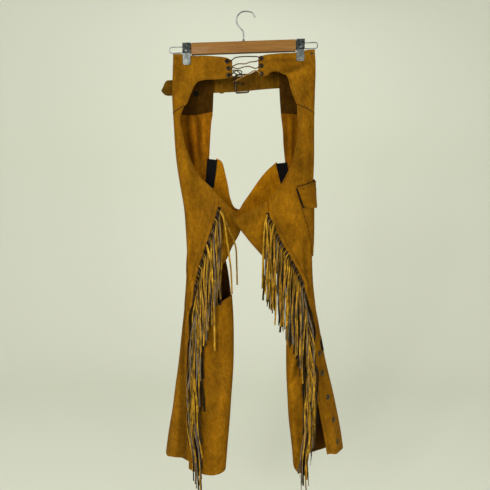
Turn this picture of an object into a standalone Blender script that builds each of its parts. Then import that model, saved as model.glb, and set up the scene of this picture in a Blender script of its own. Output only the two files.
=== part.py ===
"""Fringed leather chaps hung from a wooden clip hanger, seen from the wearer's back at -Y.

Sizes are in millimetres and become metres when a mesh is made. The origin is the inside top
of the hanger's hook, where it bears on what holds it. X runs across, Z runs up.
"""
import math

import bmesh
import bpy
from mathutils import Matrix, Vector

MM = 0.001
SMOOTH_UP_TO = 38        # degrees between faces that are shaded as one curve
SEAM = 0.4            # space left between two pieces that are sewn edge to edge
TOUCH = 0.35          # space left under a piece that lies on a panel
SUEDE = 2.0           # wall of the leg panels and yokes
STRAP = 2.4           # wall of the belt
GUSSET = 1.2          # wall of the black stretch gussets

# Hanger: it hangs a little lower on the left
HANGER_X, HANGER_Z = -6.0, -82.0
HANGER_SLOPE = 0.0325
HOOK_WIRE = 3.2
BAR_HALF_LENGTH, BAR_HEIGHT, BAR_THICKNESS = 125.0, 25.0, 12.0
BAIL_WIRE, BAIL_REACH, BAIL_HALF_HEIGHT = 2.4, 177.0, 6.8
CLIP_REACH, CLIP_WIDTH, CLIP_PLATE = 136.0, 19.0, 1.4
CLIP_HALF_GAP = 3.1
CLIP_TOP, CLIP_FOOT = 12.5, -35.5      # above and below the bar's middle
GRIP_FOOT = -8.0

# Pocket, snapped shin opening and other trim
POCKET_LEATHER = 1.8
FLAP_STANDS_OFF = 5.0
SNAP_RADIUS, SNAP_HEIGHT = 5.4, 2.6
SNAPS = ((42, -846), (42, -903), (40, -974), (37, -1045), (34, -1112))     # turn, z
SHIN_EDGE = ((-836, 78), (-860, 74), (-905, 71), (-960, 70), (-1156, 70))    # z, turn of the free edge
RIVET = (157.0, -96.0)
INSIDE_SNAP = (-122.0, -186.0)

# Lacing at the centre back
LACE = 2.6
EYELET_RADIUS, EYELET_HOLE, EYELET_HEIGHT = 5.4, 2.6, 1.6
EYELETS = {("left", 1): (-45, -116), ("left", 2): (-41, -133), ("left", 3): (-41, -149),
           ("right", 1): (36, -109), ("right", 2): (36, -127), ("right", 3): (36, -146)}
LACE_RUNS = {"lace_1": (("left", 1), ("right", 1), 1.0), "lace_2": (("left", 2), ("right", 2), 2.0),
             "lace_3": (("left", 3), ("right", 3), 5.5)}
LACE_WAVES = {"lace_1": ((0.15, 4.5), (0.45, 3.0), (0.8, 1.0)), "lace_2": ((0.2, -3.0), (0.5, 1.5), (0.8, -1.0)),
              "lace_3": ((0.1, -6.0), (0.35, 1.0), (0.75, 6.0))}
LACE_KNOT = ((-2, 2, 6), (3, 0, 9), (8, -2, 5), (9, -4, -1), (4, -6, -4), (0, -7, 1), (3, -9, 7), (10, -8, 10),
             (15, -6, 4), (14, -4, -6), (9, -2, -14), (7, -1, -22))
KNOT_AT = (6.4, -8.9, 1.0)

# Belt and buckle across the front
BELT_Z, BELT_SLOPE = -163.0, 0.045
BELT_HALF = 19.0
BELT_LIFT = SUEDE / 2 + 2 * TOUCH + STRAP / 2
TIP_SHAPE = (0.12, 0.55, 0.85)
BUCKLE_X, BUCKLE_LENGTH, BUCKLE_WIRE = -8.0, 36.0, 4.0
PRONG_HOLE = 9.0
KEEPER_X, KEEPER_WIDTH, KEEPER_LEATHER = -60.0, 10.0, 1.6

# Fringe
FRINGE_LENGTH = 203.0
WELT_OFF, WELT_WIDTH, WELT_THICK, WELT_CLEAR = 1.5, 5.0, 1.6, 1.2
WELT_CLEAR_AT_TOP, WELT_EASE = 0.45, 30.0
THIGH_PITCH, SHIN_PITCH = 9.2, 13.2
HANG_OUT = 0.09          # how far a strand stands off for each millimetre that it hangs
SHIN_LANES = (0.0, 12.0, 5.0, 17.0, 8.5, 20.0, 2.5, 14.5)

# Leg sections: a row for each height. The outer side is the fold at the hip side, the inner
# side is the crotch and inseam; depth is half of the hollow, front to back.
LEG_COLUMNS = ("z", "outer_x", "outer_y", "inner_x", "inner_y", "depth")
LEFT_LEG = (
    (-84, -173, 0, 84, 0, 7),
    (-120, -175, 0, 84, 0, 11),
    (-156, -177, 0, 84, 0, 17),
    (-192, -178, 0, 80, 0, 22),
    (-240, -176, 0, 66, 0, 27),
    (-323, -172, 0, 24, 4, 33),
    (-400, -163, 0, -2, 10, 34),
    (-469, -153, 2, -12, 14, 31),
    (-520, -150, 4, -14, 14, 27),
    (-562, -149, 7, -34, 10, 26),
    (-605, -151, 11, -42, 6, 27),
    (-646, -153, 15, -40, 2, 29),
    (-703, -158, 20, -35, -2, 32),
    (-801, -169, 30, -32, -6, 34),
    (-900, -182, 41, -35, -9, 36),
    (-1000, -197, 52, -42, -11, 39),
    (-1085, -212, 60, -49, -12, 42),
    (-1160, -224, 66, -56, -12, 45),
)
RIGHT_LEG = (
    (-76, 162, 0, -84, 0, 7),
    (-112, 166, 0, -84, 0, 11),
    (-146, 167, 0, -84, 0, 17),
    (-182, 166, 0, -80, 0, 22),
    (-235, 165, 0, -66, 0, 27),
    (-323, 166, 0, -40, -6, 33),
    (-400, 165, 0, -32, -16, 34),
    (-484, 165, 2, -32, -26, 30),
    (-537, 166, 3, 3, -22, 27),
    (-585, 166, 4, 43, -14, 27),
    (-662, 170, 8, 97, -4, 29),
    (-733, 182, 18, 101, -6, 32),
    (-802, 196, 31, 103, -8, 34),
    (-900, 219, 47, 105, -10, 36),
    (-991, 242, 62, 110, -11, 39),
    (-1073, 260, 74, 119, -12, 42),
    (-1160, 276, 86, 128, -12, 46),
)

# Large soft folds: turn is degrees round the section from the outer fold, positive on the
# back, negative on the front; a positive sink goes into the hollow.
FOLD_COLUMNS = ("turn", "spread", "z_top", "z_foot", "sink")
LEFT_FOLDS = (
    (24, 16, -520, -720, -3.0),
    (44, 18, -560, -760, 4.0),
    (62, 16, -860, -1190, 5.0),
    (120, 20, -760, -1190, -3.5),
    (-60, 24, -260, -620, 5.0),
    (-110, 22, -300, -760, -4.0),
    (-90, 26, -760, -1190, 5.0),
)
RIGHT_FOLDS = (
    (30, 16, -240, -420, -3.0),
    (70, 18, -560, -800, 3.0),
    (76, 28, -790, -1330, 7.0),
    (22, 12, -830, -1250, -3.0),
    (118, 20, -780, -1190, -4.0),
    (-70, 24, -260, -640, 5.0),
    (-120, 22, -320, -800, -4.0),
    (-80, 26, -780, -1190, 6.0),
)


def columns(table, names):
    """Turns a table's rows into dictionaries."""
    return [dict(zip(names, row)) for row in table]


LEGS = {
    "left": {"side": -1, "rows": columns(LEFT_LEG, LEG_COLUMNS), "folds": columns(LEFT_FOLDS, FOLD_COLUMNS)},
    "right": {"side": 1, "rows": columns(RIGHT_LEG, LEG_COLUMNS), "folds": columns(RIGHT_FOLDS, FOLD_COLUMNS)},
}


def smooth(t):
    t = min(1.0, max(0.0, t))
    return t * t * (3 - 2 * t)


def mix(a, b, t):
    return a + (b - a) * t


def spline(points, t):
    """Catmull-Rom curve through the points, t from 0 to 1 along their number."""
    spans = len(points) - 1
    place = min(max(t, 0.0), 1.0) * spans
    k = min(int(place), spans - 1)
    f = place - k
    p1, p2 = points[k], points[k + 1]
    p0 = points[k - 1] if k > 0 else tuple(2 * a - b for a, b in zip(p1, p2))
    p3 = points[k + 2] if k + 2 <= spans else tuple(2 * b - a for a, b in zip(p1, p2))
    return tuple(
        0.5 * (2 * b + (c - a) * f + (2 * a - 5 * b + 4 * c - d) * f * f + (3 * b - a - 3 * c + d) * f ** 3)
        for a, b, c, d in zip(p0, p1, p2, p3))


def sampled(points, count):
    """The curve through the points, at even steps of its length."""
    fine = [spline(points, k / 200) for k in range(201)]
    runs = [0.0]
    for a, b in zip(fine, fine[1:]):
        runs.append(runs[-1] + math.dist(a, b))
    out = []
    k = 0
    for n in range(count):
        want = runs[-1] * n / (count - 1)
        while k < 199 and runs[k + 1] < want:
            k += 1
        span = runs[k + 1] - runs[k] or 1.0
        out.append(tuple(mix(a, b, (want - runs[k]) / span) for a, b in zip(fine[k], fine[k + 1])))
    return out


def section(leg, z):
    """The leg's section at a height, read smoothly from its rows."""
    rows = leg["rows"]
    if z >= rows[0]["z"]:
        return rows[0]
    if z <= rows[-1]["z"]:
        return rows[-1]
    k = next(n for n in range(len(rows) - 1) if rows[n + 1]["z"] <= z)
    a, b = rows[k], rows[k + 1]
    t = (a["z"] - z) / (a["z"] - b["z"])
    before = rows[k - 1] if k else a
    after = rows[k + 2] if k + 2 < len(rows) else b
    span = b["z"] - a["z"]
    values = {}
    for name in LEG_COLUMNS[1:]:
        slope_a = (b[name] - before[name]) / (b["z"] - before["z"]) * span
        slope_b = (after[name] - a[name]) / (after["z"] - a["z"]) * span
        values[name] = ((2 * t ** 3 - 3 * t * t + 1) * a[name] + (t ** 3 - 2 * t * t + t) * slope_a
                        + (3 * t * t - 2 * t ** 3) * b[name] + (t ** 3 - t * t) * slope_b)
    return values


def hanger_z(x):
    """Height of the hanger's middle line."""
    return HANGER_Z + (x - HANGER_X) * HANGER_SLOPE


def pinch(x, z):
    """How far the hanger's clips close the hollow: 1 is open."""
    near_clip = 1 - smooth((abs(abs(x - HANGER_X) - CLIP_REACH) - 15.0) / 34.0)
    near_top = 1 - smooth((hanger_z(x) + CLIP_FOOT - 2 - z) / 60.0)
    return 1 - near_clip * near_top


def flat_gap(x, z):
    """Half of the space that the pinched layers keep."""
    return (SUEDE / 2 + 0.45) * (1 - pinch(x, z))


def fold_sink(leg, turn, z):
    total = 0.0
    turn = (turn + 180) % 360 - 180
    for fold in leg["folds"]:
        across = (turn - fold["turn"]) / fold["spread"]
        along = (z - fold["z_foot"]) / (fold["z_top"] - fold["z_foot"])
        if abs(across) < 1 and 0 < along < 1:
            total += fold["sink"] * math.cos(across * math.pi / 2) ** 2 * math.sin(along * math.pi) ** 0.7
    return total


def leg_point(leg, turn, z, lift=0.0):
    """Middle of the wall at a turn (degrees from the outer fold, back positive) and height."""
    row = section(leg, z)
    angle = math.radians(turn)
    x = mix(row["inner_x"], row["outer_x"], (1 + math.cos(angle)) / 2)
    y = mix(row["inner_y"], row["outer_y"], (1 + math.cos(angle)) / 2)
    reach = row["depth"] - fold_sink(leg, turn, z)
    y -= math.sin(angle) * (reach * pinch(x, z) + flat_gap(x, z) + lift)
    return (x, y, z)


def turn_at(leg, x, z, back=True):
    """The turn at which the wall has this x."""
    row = section(leg, z)
    share = (x - row["inner_x"]) / (row["outer_x"] - row["inner_x"]) * 2 - 1
    turn = math.degrees(math.acos(min(1.0, max(-1.0, share))))
    return turn if back else -turn


def to_turns(leg, points, back=True):
    return [(turn_at(leg, x, z, back), z) for x, z in points]


def metres(points):
    return [Vector(p) * MM for p in points]


def make_object(name, verts, faces, material):
    mesh = bpy.data.meshes.new(name)
    mesh.from_pydata([tuple(v) for v in verts], [], faces)
    mesh.update()
    obj = bpy.data.objects.new(name, mesh)
    bpy.context.scene.collection.objects.link(obj)
    bm = bmesh.new()
    bm.from_mesh(mesh)
    bmesh.ops.recalc_face_normals(bm, faces=bm.faces)
    bm.to_mesh(mesh)
    bm.free()
    mesh.shade_smooth()
    mesh.set_sharp_from_angle(angle=math.radians(SMOOTH_UP_TO))
    mesh.materials.append(material)
    return obj


def wall(name, grid, thickness, material):
    """Closed wall round a grid of middle points, half its thickness to each side."""
    rows, cols = len(grid), len(grid[0])
    pts = [[Vector(p) for p in row] for row in grid]
    front, back = [], []
    for r in range(rows):
        for c in range(cols):
            along = pts[min(r + 1, rows - 1)][c] - pts[max(r - 1, 0)][c]
            across = pts[r][min(c + 1, cols - 1)] - pts[r][max(c - 1, 0)]
            normal = along.cross(across).normalized() * (thickness / 2)
            front.append(pts[r][c] + normal)
            back.append(pts[r][c] - normal)
    size = rows * cols
    faces = []

    def at(r, c, under=False):
        return r * cols + c + (size if under else 0)

    for r in range(rows - 1):
        for c in range(cols - 1):
            faces.append((at(r, c), at(r, c + 1), at(r + 1, c + 1), at(r + 1, c)))
            faces.append((at(r, c, True), at(r + 1, c, True), at(r + 1, c + 1, True), at(r, c + 1, True)))
    rim = [(0, c) for c in range(cols)] + [(r, cols - 1) for r in range(1, rows)]
    rim += [(rows - 1, c) for c in range(cols - 2, -1, -1)] + [(r, 0) for r in range(rows - 2, 0, -1)]
    for (r1, c1), (r2, c2) in zip(rim, rim[1:] + rim[:1]):
        faces.append((at(r1, c1), at(r1, c1, True), at(r2, c2, True), at(r2, c2)))
    return make_object(name, metres(front + back), faces, material)


def patch(top, foot, start, end):
    """Fills four border curves of (turn, z): top and foot run from start to end."""
    cols, rows = len(top), len(start)
    grid = []
    for r in range(rows):
        v = r / (rows - 1)
        line = []
        for c in range(cols):
            u = c / (cols - 1)
            line.append(tuple(
                mix(top[c][k], foot[c][k], v) + mix(start[r][k], end[r][k], u)
                - mix(mix(top[0][k], top[-1][k], u), mix(foot[0][k], foot[-1][k], u), v) for k in (0, 1)))
        grid.append(line)
    return grid


def outward(leg, turn, z, lift):
    """Point at a distance outside the middle of the wall, along its normal."""
    here = Vector(leg_point(leg, turn, z))
    round_leg = Vector(leg_point(leg, turn + 2, z)) - Vector(leg_point(leg, turn - 2, z))
    down_leg = Vector(leg_point(leg, turn, z - 4)) - Vector(leg_point(leg, turn, z + 4))
    normal = round_leg.cross(down_leg).normalized() * leg["side"]
    return tuple(here + normal * lift), normal


def leg_wall(name, leg, grid, thickness, material, lift=0.0):
    """Wall through a grid of (turn, z), lifted off the leg where it lies on another piece."""
    points = [[outward(leg, turn, z, lift)[0] if lift else leg_point(leg, turn, z) for turn, z in row]
              for row in grid]
    return wall(name, points, thickness, material)


def material(name, colour, roughness, metallic=0.0):
    mat = bpy.data.materials.new(name)
    mat.use_nodes = True
    shader = mat.node_tree.nodes["Principled BSDF"]
    shader.inputs["Base Color"].default_value = (*colour, 1.0)
    shader.inputs["Roughness"].default_value = roughness
    shader.inputs["Metallic"].default_value = metallic
    return mat


# Cut lines read from the garment, as (x, z) on the wall, from the waist down or from the
# centre outwards. "back" and "front" say on which side of the hip fold a line lies.
CUTS = {
    "left": {
        "back_top": ((-33, -114), (-48, -107), (-72, -104), (-98, -102), (-132, -100), (-156, -96.5), (-171, -96.5)),
        "back_free_foot": ((-32, -153), (-60, -158), (-104, -160), (-118, -166), (-126, -178), (-140, -212),
                           (-148, -220)),
        "front_seam_foot": ((-140, -242), (-110, -238), (-83, -233)),
        "front_top": ((-140, -101), (-110, -108), (-78, -118)),
        "seat_edge": ((-148, -220), (-158, -250), (-154, -275), (-144, -319), (-119, -378), (-88, -410),
                      (-65, -436)),
        "fringe": ((-65, -436), (-72, -470), (-95, -540), (-116, -600), (-130, -658), (-134, -720),
                   (-138, -800), (-143, -900), (-147, -1000), (-150, -1090), (-152, -1156)),
        "front_edge": ((-83, -233), (-87, -260), (-91, -310), (-93, -340), (-97, -380), (-100, -420)),
        "gusset_edge": ((-70, -343), (-76, -375), (-84, -412)),
        "crotch_back": ((-65, -436), (-45, -456), (-27, -472)),
        "crotch_front": ((-27, -466), (-39, -445), (-46, -410), (-52, -382), (-59, -352), (-68, -340)),
        "flap_foot": ((-90, -632), (-60, -606), (-41, -575), (-24, -538)),
        "calf_top": ((-100, -708), (-73, -702), (-50, -690)),
        "front_seam": ((-101, -480), (-93, -530), (-70, -570), (-48, -620)),
        "flap_meets_seam": -662,
        "flap_meets_front": -545,
        "calf_meets_seam": -700,
        "flap_fold_z": -520,
        "calf_fold_z": -683,
    },
    "right": {
        "back_top": ((29, -106), (46, -101), (75, -97.5), (104, -94.5), (124, -92), (146, -87), (160, -86)),
        "back_free_foot": ((29, -150), (48, -150), (60, -141), (74, -139), (90, -146), (101, -160),
                           (106, -180), (116, -205), (122, -218)),
        "front_seam_foot": ((132, -240), (108, -238), (87, -237)),
        "front_top": ((130, -93), (105, -99), (80, -108)),
        "seat_edge": ((122, -218), (124, -268), (123, -295), (112, -347), (92, -392), (62, -436), (52, -447)),
        "fringe": ((52, -447), (57, -480), (88, -545), (126, -610), (148, -655), (160, -696), (165, -760),
                   (166, -860), (164, -960), (162, -1060), (161, -1156)),
        "front_edge": ((87, -237), (92, -275), (94, -310), (98, -350), (104, -385), (108, -430)),
        "gusset_edge": ((80, -353), (88, -385), (94, -412)),
        "crotch_back": ((52, -447), (30, -459), (0, -469), (-20, -475)),
        "crotch_front": ((-20, -462), (0, -437), (29, -400), (53, -371), (77, -350)),
        "flap_foot": ((135, -652), (122, -650), (110, -650)),
        "calf_top": ((150, -712), (130, -712), (112, -706)),
        "front_seam": ((112, -480), (110, -540), (107, -600), (105, -650)),
        "flap_meets_seam": -664,
        "flap_meets_front": -650,
        "calf_meets_seam": -706,
        "flap_fold_z": -655,
        "calf_fold_z": -700,
    },
}
HEM_Z = -1156
SEAM_TURN = {"left": 0.45, "right": 1.0}     # degrees left free on each side of the fringe seam
FRONT_SEAM_TURN = 192          # where the inner pieces meet the front, degrees past the back
YOKE_SEAM_STEPS = 14
LEG_ROWS = 25
SEAT_ROWS = 9


def on_scale(points, count, scale=0.25):
    """Samples a (turn, z) curve with its heights weighted, so that degrees and heights compare."""
    return [(t, z / scale) for t, z in sampled([(t, z * scale) for t, z in points], count)]


def yoke_seam(side):
    leg, cuts = LEGS[side], CUTS[side]
    start = cuts["back_free_foot"][-1]
    points = to_turns(leg, [start]) + [(18, -233), (-14, -239)] + to_turns(leg, cuts["front_seam_foot"], False)
    return on_scale(points, YOKE_SEAM_STEPS)


def seam_turn(side, z):
    """Turn of the fringe seam at a height."""
    line = CUTS[side]["fringe"]
    k = next((n for n in range(len(line) - 2) if line[n + 1][1] <= z), len(line) - 2)
    (x1, z1), (x2, z2) = line[k], line[k + 1]
    return turn_at(LEGS[side], mix(x1, x2, (z - z1) / (z2 - z1)), z)


def shin_edge(side, z):
    """Turn of the outer hide's edge beside the fringe: on the right shin it hangs open."""
    turn = seam_turn(side, z) - SEAM_TURN[side]
    if side == "left" or z > SHIN_EDGE[0][0]:
        return turn
    k = next((n for n in range(len(SHIN_EDGE) - 2) if SHIN_EDGE[n + 1][0] <= z), len(SHIN_EDGE) - 2)
    (z1, t1), (z2, t2) = SHIN_EDGE[k], SHIN_EDGE[k + 1]
    return min(turn, mix(t1, t2, (z - z1) / (z2 - z1)))


def shifted(points, by):
    return [(t + by[0], z + by[1]) for t, z in points]


def build_yoke(side, mats):
    """Waistband and yoke in one, from the laced edge round the hip to the front edge."""
    leg, cuts = LEGS[side], CUTS[side]
    free_steps = 13
    free = on_scale(to_turns(leg, cuts["back_free_foot"]), free_steps)[:-1]
    seam = shifted(yoke_seam(side), (0, SEAM / 2))
    back_top = to_turns(leg, cuts["back_top"])
    top = on_scale(back_top, free_steps + 2) + on_scale(
        [(-8, back_top[-1][1])] + to_turns(leg, cuts["front_top"], False), YOKE_SEAM_STEPS - 3)
    foot = free + seam
    rows = 5
    laced = [(mix(top[0][0], foot[0][0], k / (rows - 1)), mix(top[0][1], foot[0][1], k / (rows - 1)))
             for k in range(rows)]
    front = [(mix(top[-1][0], foot[-1][0], k / (rows - 1)), mix(top[-1][1], foot[-1][1], k / (rows - 1)))
             for k in range(rows)]
    leg_wall(f"yoke_{side}", leg, patch(top, foot, laced, front), SUEDE, mats["yoke"])


def build_leg_outer(side, mats):
    """Back, outer side and front of a leg in one hide, from the yoke seam to the hem."""
    leg, cuts = LEGS[side], CUTS[side]
    top = shifted(yoke_seam(side), (0, -SEAM / 2))
    seat = [top[0]] + to_turns(leg, cuts["seat_edge"][1:-1]) + [(seam_turn(side, cuts["fringe"][0][1]) - SEAM_TURN[side],
                                                              cuts["fringe"][0][1])]
    seam = [(shin_edge(side, z), z) for x, z in cuts["fringe"]]
    near = on_scale(seat, SEAT_ROWS) + on_scale(seam, LEG_ROWS - SEAT_ROWS + 1)[1:]
    far = [top[-1]] + to_turns(leg, cuts["front_edge"][1:], False)
    far += shifted(to_turns(leg, cuts["front_seam"], False), (0.8, 0))
    far += [(FRONT_SEAM_TURN - 360 + 1.5, z) for z in (-700, -730, -780, -880, -980, -1080, HEM_Z)]
    far = on_scale(far, LEG_ROWS)
    foot = [(mix(near[-1][0], far[-1][0], k / (YOKE_SEAM_STEPS - 1)), HEM_Z) for k in range(YOKE_SEAM_STEPS)]
    leg_wall(f"leg_outer_{side}", leg, patch(top, foot, near, far), SUEDE, mats["suede"])


def past_back(points):
    """Front turns counted on from the back ones, past the inner fold."""
    return [(t + 360, z) for t, z in points]


def build_thigh_inner(side, mats):
    """Inner thigh piece: a flap on the back, round the crotch fold and up the front to a tip."""
    leg, cuts = LEGS[side], CUTS[side]
    rows, cols = 10, 15
    meets, meets_front = cuts["flap_meets_seam"], cuts["flap_meets_front"]
    seam = [(seam_turn(side, z) + SEAM_TURN[side], z) for x, z in cuts["fringe"] if z > meets + 8]
    seam += [(seam_turn(side, meets) + SEAM_TURN[side], meets)]
    front_line = past_back(to_turns(leg, cuts["crotch_front"], False))
    fold_z = (cuts["crotch_back"][-1][1] + cuts["crotch_front"][0][1]) / 2
    top = on_scale(to_turns(leg, cuts["crotch_back"]) + [(180, fold_z)] + front_line, cols)
    tip = front_line[-1]
    gusset = [tip] + past_back(to_turns(leg, cuts["gusset_edge"][1:], False))
    gusset += shifted(past_back(to_turns(leg, [p for p in cuts["front_seam"] if p[1] > meets_front], False)),
                      (-0.8, 0))
    last = gusset[-1]
    foot = [seam[-1]] + to_turns(leg, cuts["flap_foot"]) + [(180, cuts["flap_fold_z"]), last]
    leg_wall(f"thigh_inner_{side}", leg,
             patch(top, on_scale(foot, cols), on_scale(seam, rows), on_scale(gusset, rows)), SUEDE, mats["suede"])


def build_calf_inner(side, mats):
    """Inner lower-leg piece, from the opening behind the knee to the hem."""
    leg, cuts = LEGS[side], CUTS[side]
    rows, cols = 13, 9
    meets = cuts["calf_meets_seam"]
    seam = [(seam_turn(side, meets) + SEAM_TURN[side], meets)]
    seam += [(seam_turn(side, z) + SEAM_TURN[side], z) for x, z in cuts["fringe"] if z < meets - 12]
    fold_z = cuts["calf_fold_z"]
    front = [(FRONT_SEAM_TURN - 2.2, mix(fold_z - 6, HEM_Z, k / (rows - 1))) for k in range(rows)]
    top = [seam[0]] + to_turns(leg, cuts["calf_top"]) + [(180, fold_z), front[0]]
    seam = on_scale(seam, rows)
    foot = [(mix(seam[-1][0], front[-1][0], k / (cols - 1)), HEM_Z) for k in range(cols)]
    leg_wall(f"calf_inner_{side}", leg, patch(on_scale(top, cols), foot, seam, front), SUEDE, mats["suede"])


def build_gusset(side, mats):
    """Black stretch wedge in the front, between the front edge and the inner thigh piece."""
    leg, cuts = LEGS[side], CUTS[side]
    rows, cols = 6, 4
    edge = to_turns(leg, [p for p in cuts["front_edge"] if p[1] < -335], False)
    tip = to_turns(leg, cuts["gusset_edge"], False)
    first = on_scale(edge, rows)
    last = on_scale(tip, rows)
    top = [(mix(first[0][0], last[0][0], k / (cols - 1)), mix(first[0][1], last[0][1], k / (cols - 1)))
           for k in range(cols)]
    foot = [(mix(first[-1][0], last[-1][0], k / (cols - 1)), mix(first[-1][1], last[-1][1], k / (cols - 1)))
            for k in range(cols)]
    inside = -(SUEDE / 2 + 3 * TOUCH + GUSSET / 2)
    leg_wall(f"gusset_{side}", leg, patch(top, foot, first, last), GUSSET, mats["gusset"], inside)


def build_overlay(name, side, corners, steps, thickness, lifts, mat):
    """Piece that lies on a leg: corners are (turn, z), lifts are at its top and foot."""
    leg = LEGS[side]
    (top_a, top_b, foot_b, foot_a) = corners
    cols, rows = steps
    points = []
    for r in range(rows):
        v = r / (rows - 1)
        a = (mix(top_a[0], foot_a[0], v), mix(top_a[1], foot_a[1], v))
        b = (mix(top_b[0], foot_b[0], v), mix(top_b[1], foot_b[1], v))
        points.append([outward(leg, mix(a[0], b[0], c / (cols - 1)), mix(a[1], b[1], c / (cols - 1)),
                               mix(lifts[0], lifts[1], v))[0] for c in range(cols)])
    return wall(name, points, thickness, mat)


def build_pocket(mats):
    """Patch pocket on the right thigh, over the hip fold, and the flap that covers its mouth."""
    patch_lift = SUEDE / 2 + 3.5 * TOUCH + POCKET_LEATHER / 2
    flap_lift = patch_lift + POCKET_LEATHER + 2 * TOUCH
    build_overlay("pocket_patch", "right", ((51, -424), (-52, -392), (-42, -596), (12, -578)), (9, 8),
                  POCKET_LEATHER, (patch_lift, patch_lift), mats["suede"])
    build_overlay("pocket_flap", "right", ((57, -413), (-56, -380), (-52, -456), (44, -466)), (9, 5),
                  POCKET_LEATHER, (flap_lift, flap_lift + FLAP_STANDS_OFF), mats["suede"])


def build_snaps(mats):
    """Row of snaps down the free edge of the right shin."""
    for number, (turn, z) in enumerate(SNAPS, 1):
        place, normal = outward(LEGS["right"], turn, z, SUEDE / 2 + 0.45)
        disc(f"snap_{number}", place, normal, SNAP_RADIUS, SNAP_HEIGHT, mats["snap"])


def disc(name, place, normal, radius, height, mat, hole=0.0, sides=12):
    """Low round cap with a domed rim, or a ring where it has a hole, standing on a place."""
    profile = [(radius * 0.9, 0.0), (radius, height * 0.35), (radius * 0.82, height * 0.85)]
    if hole:
        profile += [((radius + hole) / 2, height), (hole, height * 0.6), (hole, 0.0)]
    turn_to = Vector((0, 0, 1)).rotation_difference(normal).to_matrix()
    verts, faces = [], []
    for k in range(sides):
        angle = 2 * math.pi * k / sides
        for radial, up in profile:
            local = Vector((radial * math.cos(angle), radial * math.sin(angle), up))
            verts.append((Vector(place) + turn_to @ local) * MM)
    n = len(profile)
    for k in range(sides):
        nxt = (k + 1) % sides
        for c in range(n if hole else n - 1):
            d = (c + 1) % n
            faces.append((k * n + c, nxt * n + c, nxt * n + d, k * n + d))
    if not hole:
        foot, crown = len(verts), len(verts) + 1
        verts += [Vector(place) * MM, (Vector(place) + turn_to @ Vector((0, 0, height))) * MM]
        for k in range(sides):
            nxt = (k + 1) % sides
            faces.append((foot, nxt * n, k * n))
            faces.append((crown, k * n + n - 1, nxt * n + n - 1))
    return make_object(name, verts, faces, mat)


def tube(name, points, diameter, mat, count=24, closed=False):
    """Round wire or lace along a smooth route."""
    route = sampled(points, count)
    curve = bpy.data.curves.new(name, "CURVE")
    curve.dimensions = "3D"
    curve.bevel_depth = diameter / 2 * MM
    curve.bevel_resolution = 2
    curve.use_fill_caps = True
    line = curve.splines.new("POLY")
    line.points.add(len(route) - 1)
    for point, place in zip(line.points, route):
        point.co = (*(Vector(place) * MM), 1.0)
    curve.materials.append(mat)
    obj = bpy.data.objects.new(name, curve)
    bpy.context.scene.collection.objects.link(obj)
    return obj


def back_face(side, x, z, lift):
    """Point on the back of a band at x and z, lifted off its outer face, with the way out."""
    leg = LEGS[side]
    return outward(leg, turn_at(leg, x, z), z, SUEDE / 2 + lift)


def build_lacing(mats):
    """Three pairs of eyelets at the centre back and the thin lace between them."""
    centres = {}
    for (side, number), (x, z) in EYELETS.items():
        place, normal = back_face(side, x, z, 0.8)
        centres[side, number] = place
        disc(f"eyelet_{side}_{number}", place, normal, EYELET_RADIUS, EYELET_HEIGHT, mats["eyelet"], EYELET_HOLE)
    for name, (start, finish, arch) in LACE_RUNS.items():
        a, b = centres[start], centres[finish]
        over = EYELET_HEIGHT + LACE / 2 + 0.5
        points = [(a[0], a[1] - 0.5, a[2]), (a[0] + 1.0, a[1] - over, a[2]), (a[0] + 7, a[1] - over - arch / 2, a[2])]
        for share, drop in LACE_WAVES[name]:
            points.append((mix(a[0] + 7, b[0] - 7, share), min(a[1], b[1]) - over - arch,
                           mix(a[2], b[2], share) + drop))
        points += [(b[0] - 7, b[1] - over - arch / 2, b[2]), (b[0] - 1.0, b[1] - over, b[2]),
                   (b[0], b[1] - 0.5, b[2])]
        tube(name, points, LACE, mats["lace"], 17)
    x, y, z = centres["left", 3]
    knot = [(x + KNOT_AT[0] + a, y + KNOT_AT[1] + b, z + KNOT_AT[2] + c) for a, b, c in LACE_KNOT]
    tube("lace_knot", knot, LACE, mats["lace"], 22)


def far_line(x, z):
    """Depth of the middle of the front wall at x, carried on where a hide ends."""
    def depth(side):
        row = section(LEGS[side], z)
        share = (x - row["inner_x"]) / (row["outer_x"] - row["inner_x"])
        if not 0.0 < share < 1.0:
            return 0.0
        return leg_point(LEGS[side], turn_at(LEGS[side], x, z, False), z)[1]
    blend = smooth((x + 45) / 90)
    return mix(depth("left"), depth("right"), blend)


def belt_z(x):
    return BELT_Z + BELT_SLOPE * x


def strap(name, stations, half_width, mat, tip=0.0):
    """Flat strap through (x, y) stations, upright, with a pointed end at the first if asked."""
    grid = []
    for n, (x, y) in enumerate(stations):
        half = half_width
        if tip and n < len(TIP_SHAPE):
            half = half_width * TIP_SHAPE[n]
        z = belt_z(x)
        grid.append([(x, y, z - half + 2 * half * k / 3) for k in range(4)])
    return wall(name, grid, STRAP, mat)


def billet_y(x):
    """The long strap lies on the other at the hip and passes through the buckle to the hide."""
    lower = BELT_LIFT
    upper = BELT_LIFT + STRAP + 2 * TOUCH
    layer = mix(upper, lower, smooth((x - BUCKLE_X - 4) / 34.0))
    wall_y = max(far_line(max(x, -150.0), belt_z(x)), far_line(max(x, -150.0), belt_z(x) - BELT_HALF),
                 far_line(max(x, -150.0), belt_z(x) + BELT_HALF))
    return wall_y + layer


def strap_y(x):
    z = belt_z(x)
    return max(far_line(x, z), far_line(x, z - BELT_HALF), far_line(x, z + BELT_HALF)) + BELT_LIFT


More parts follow.
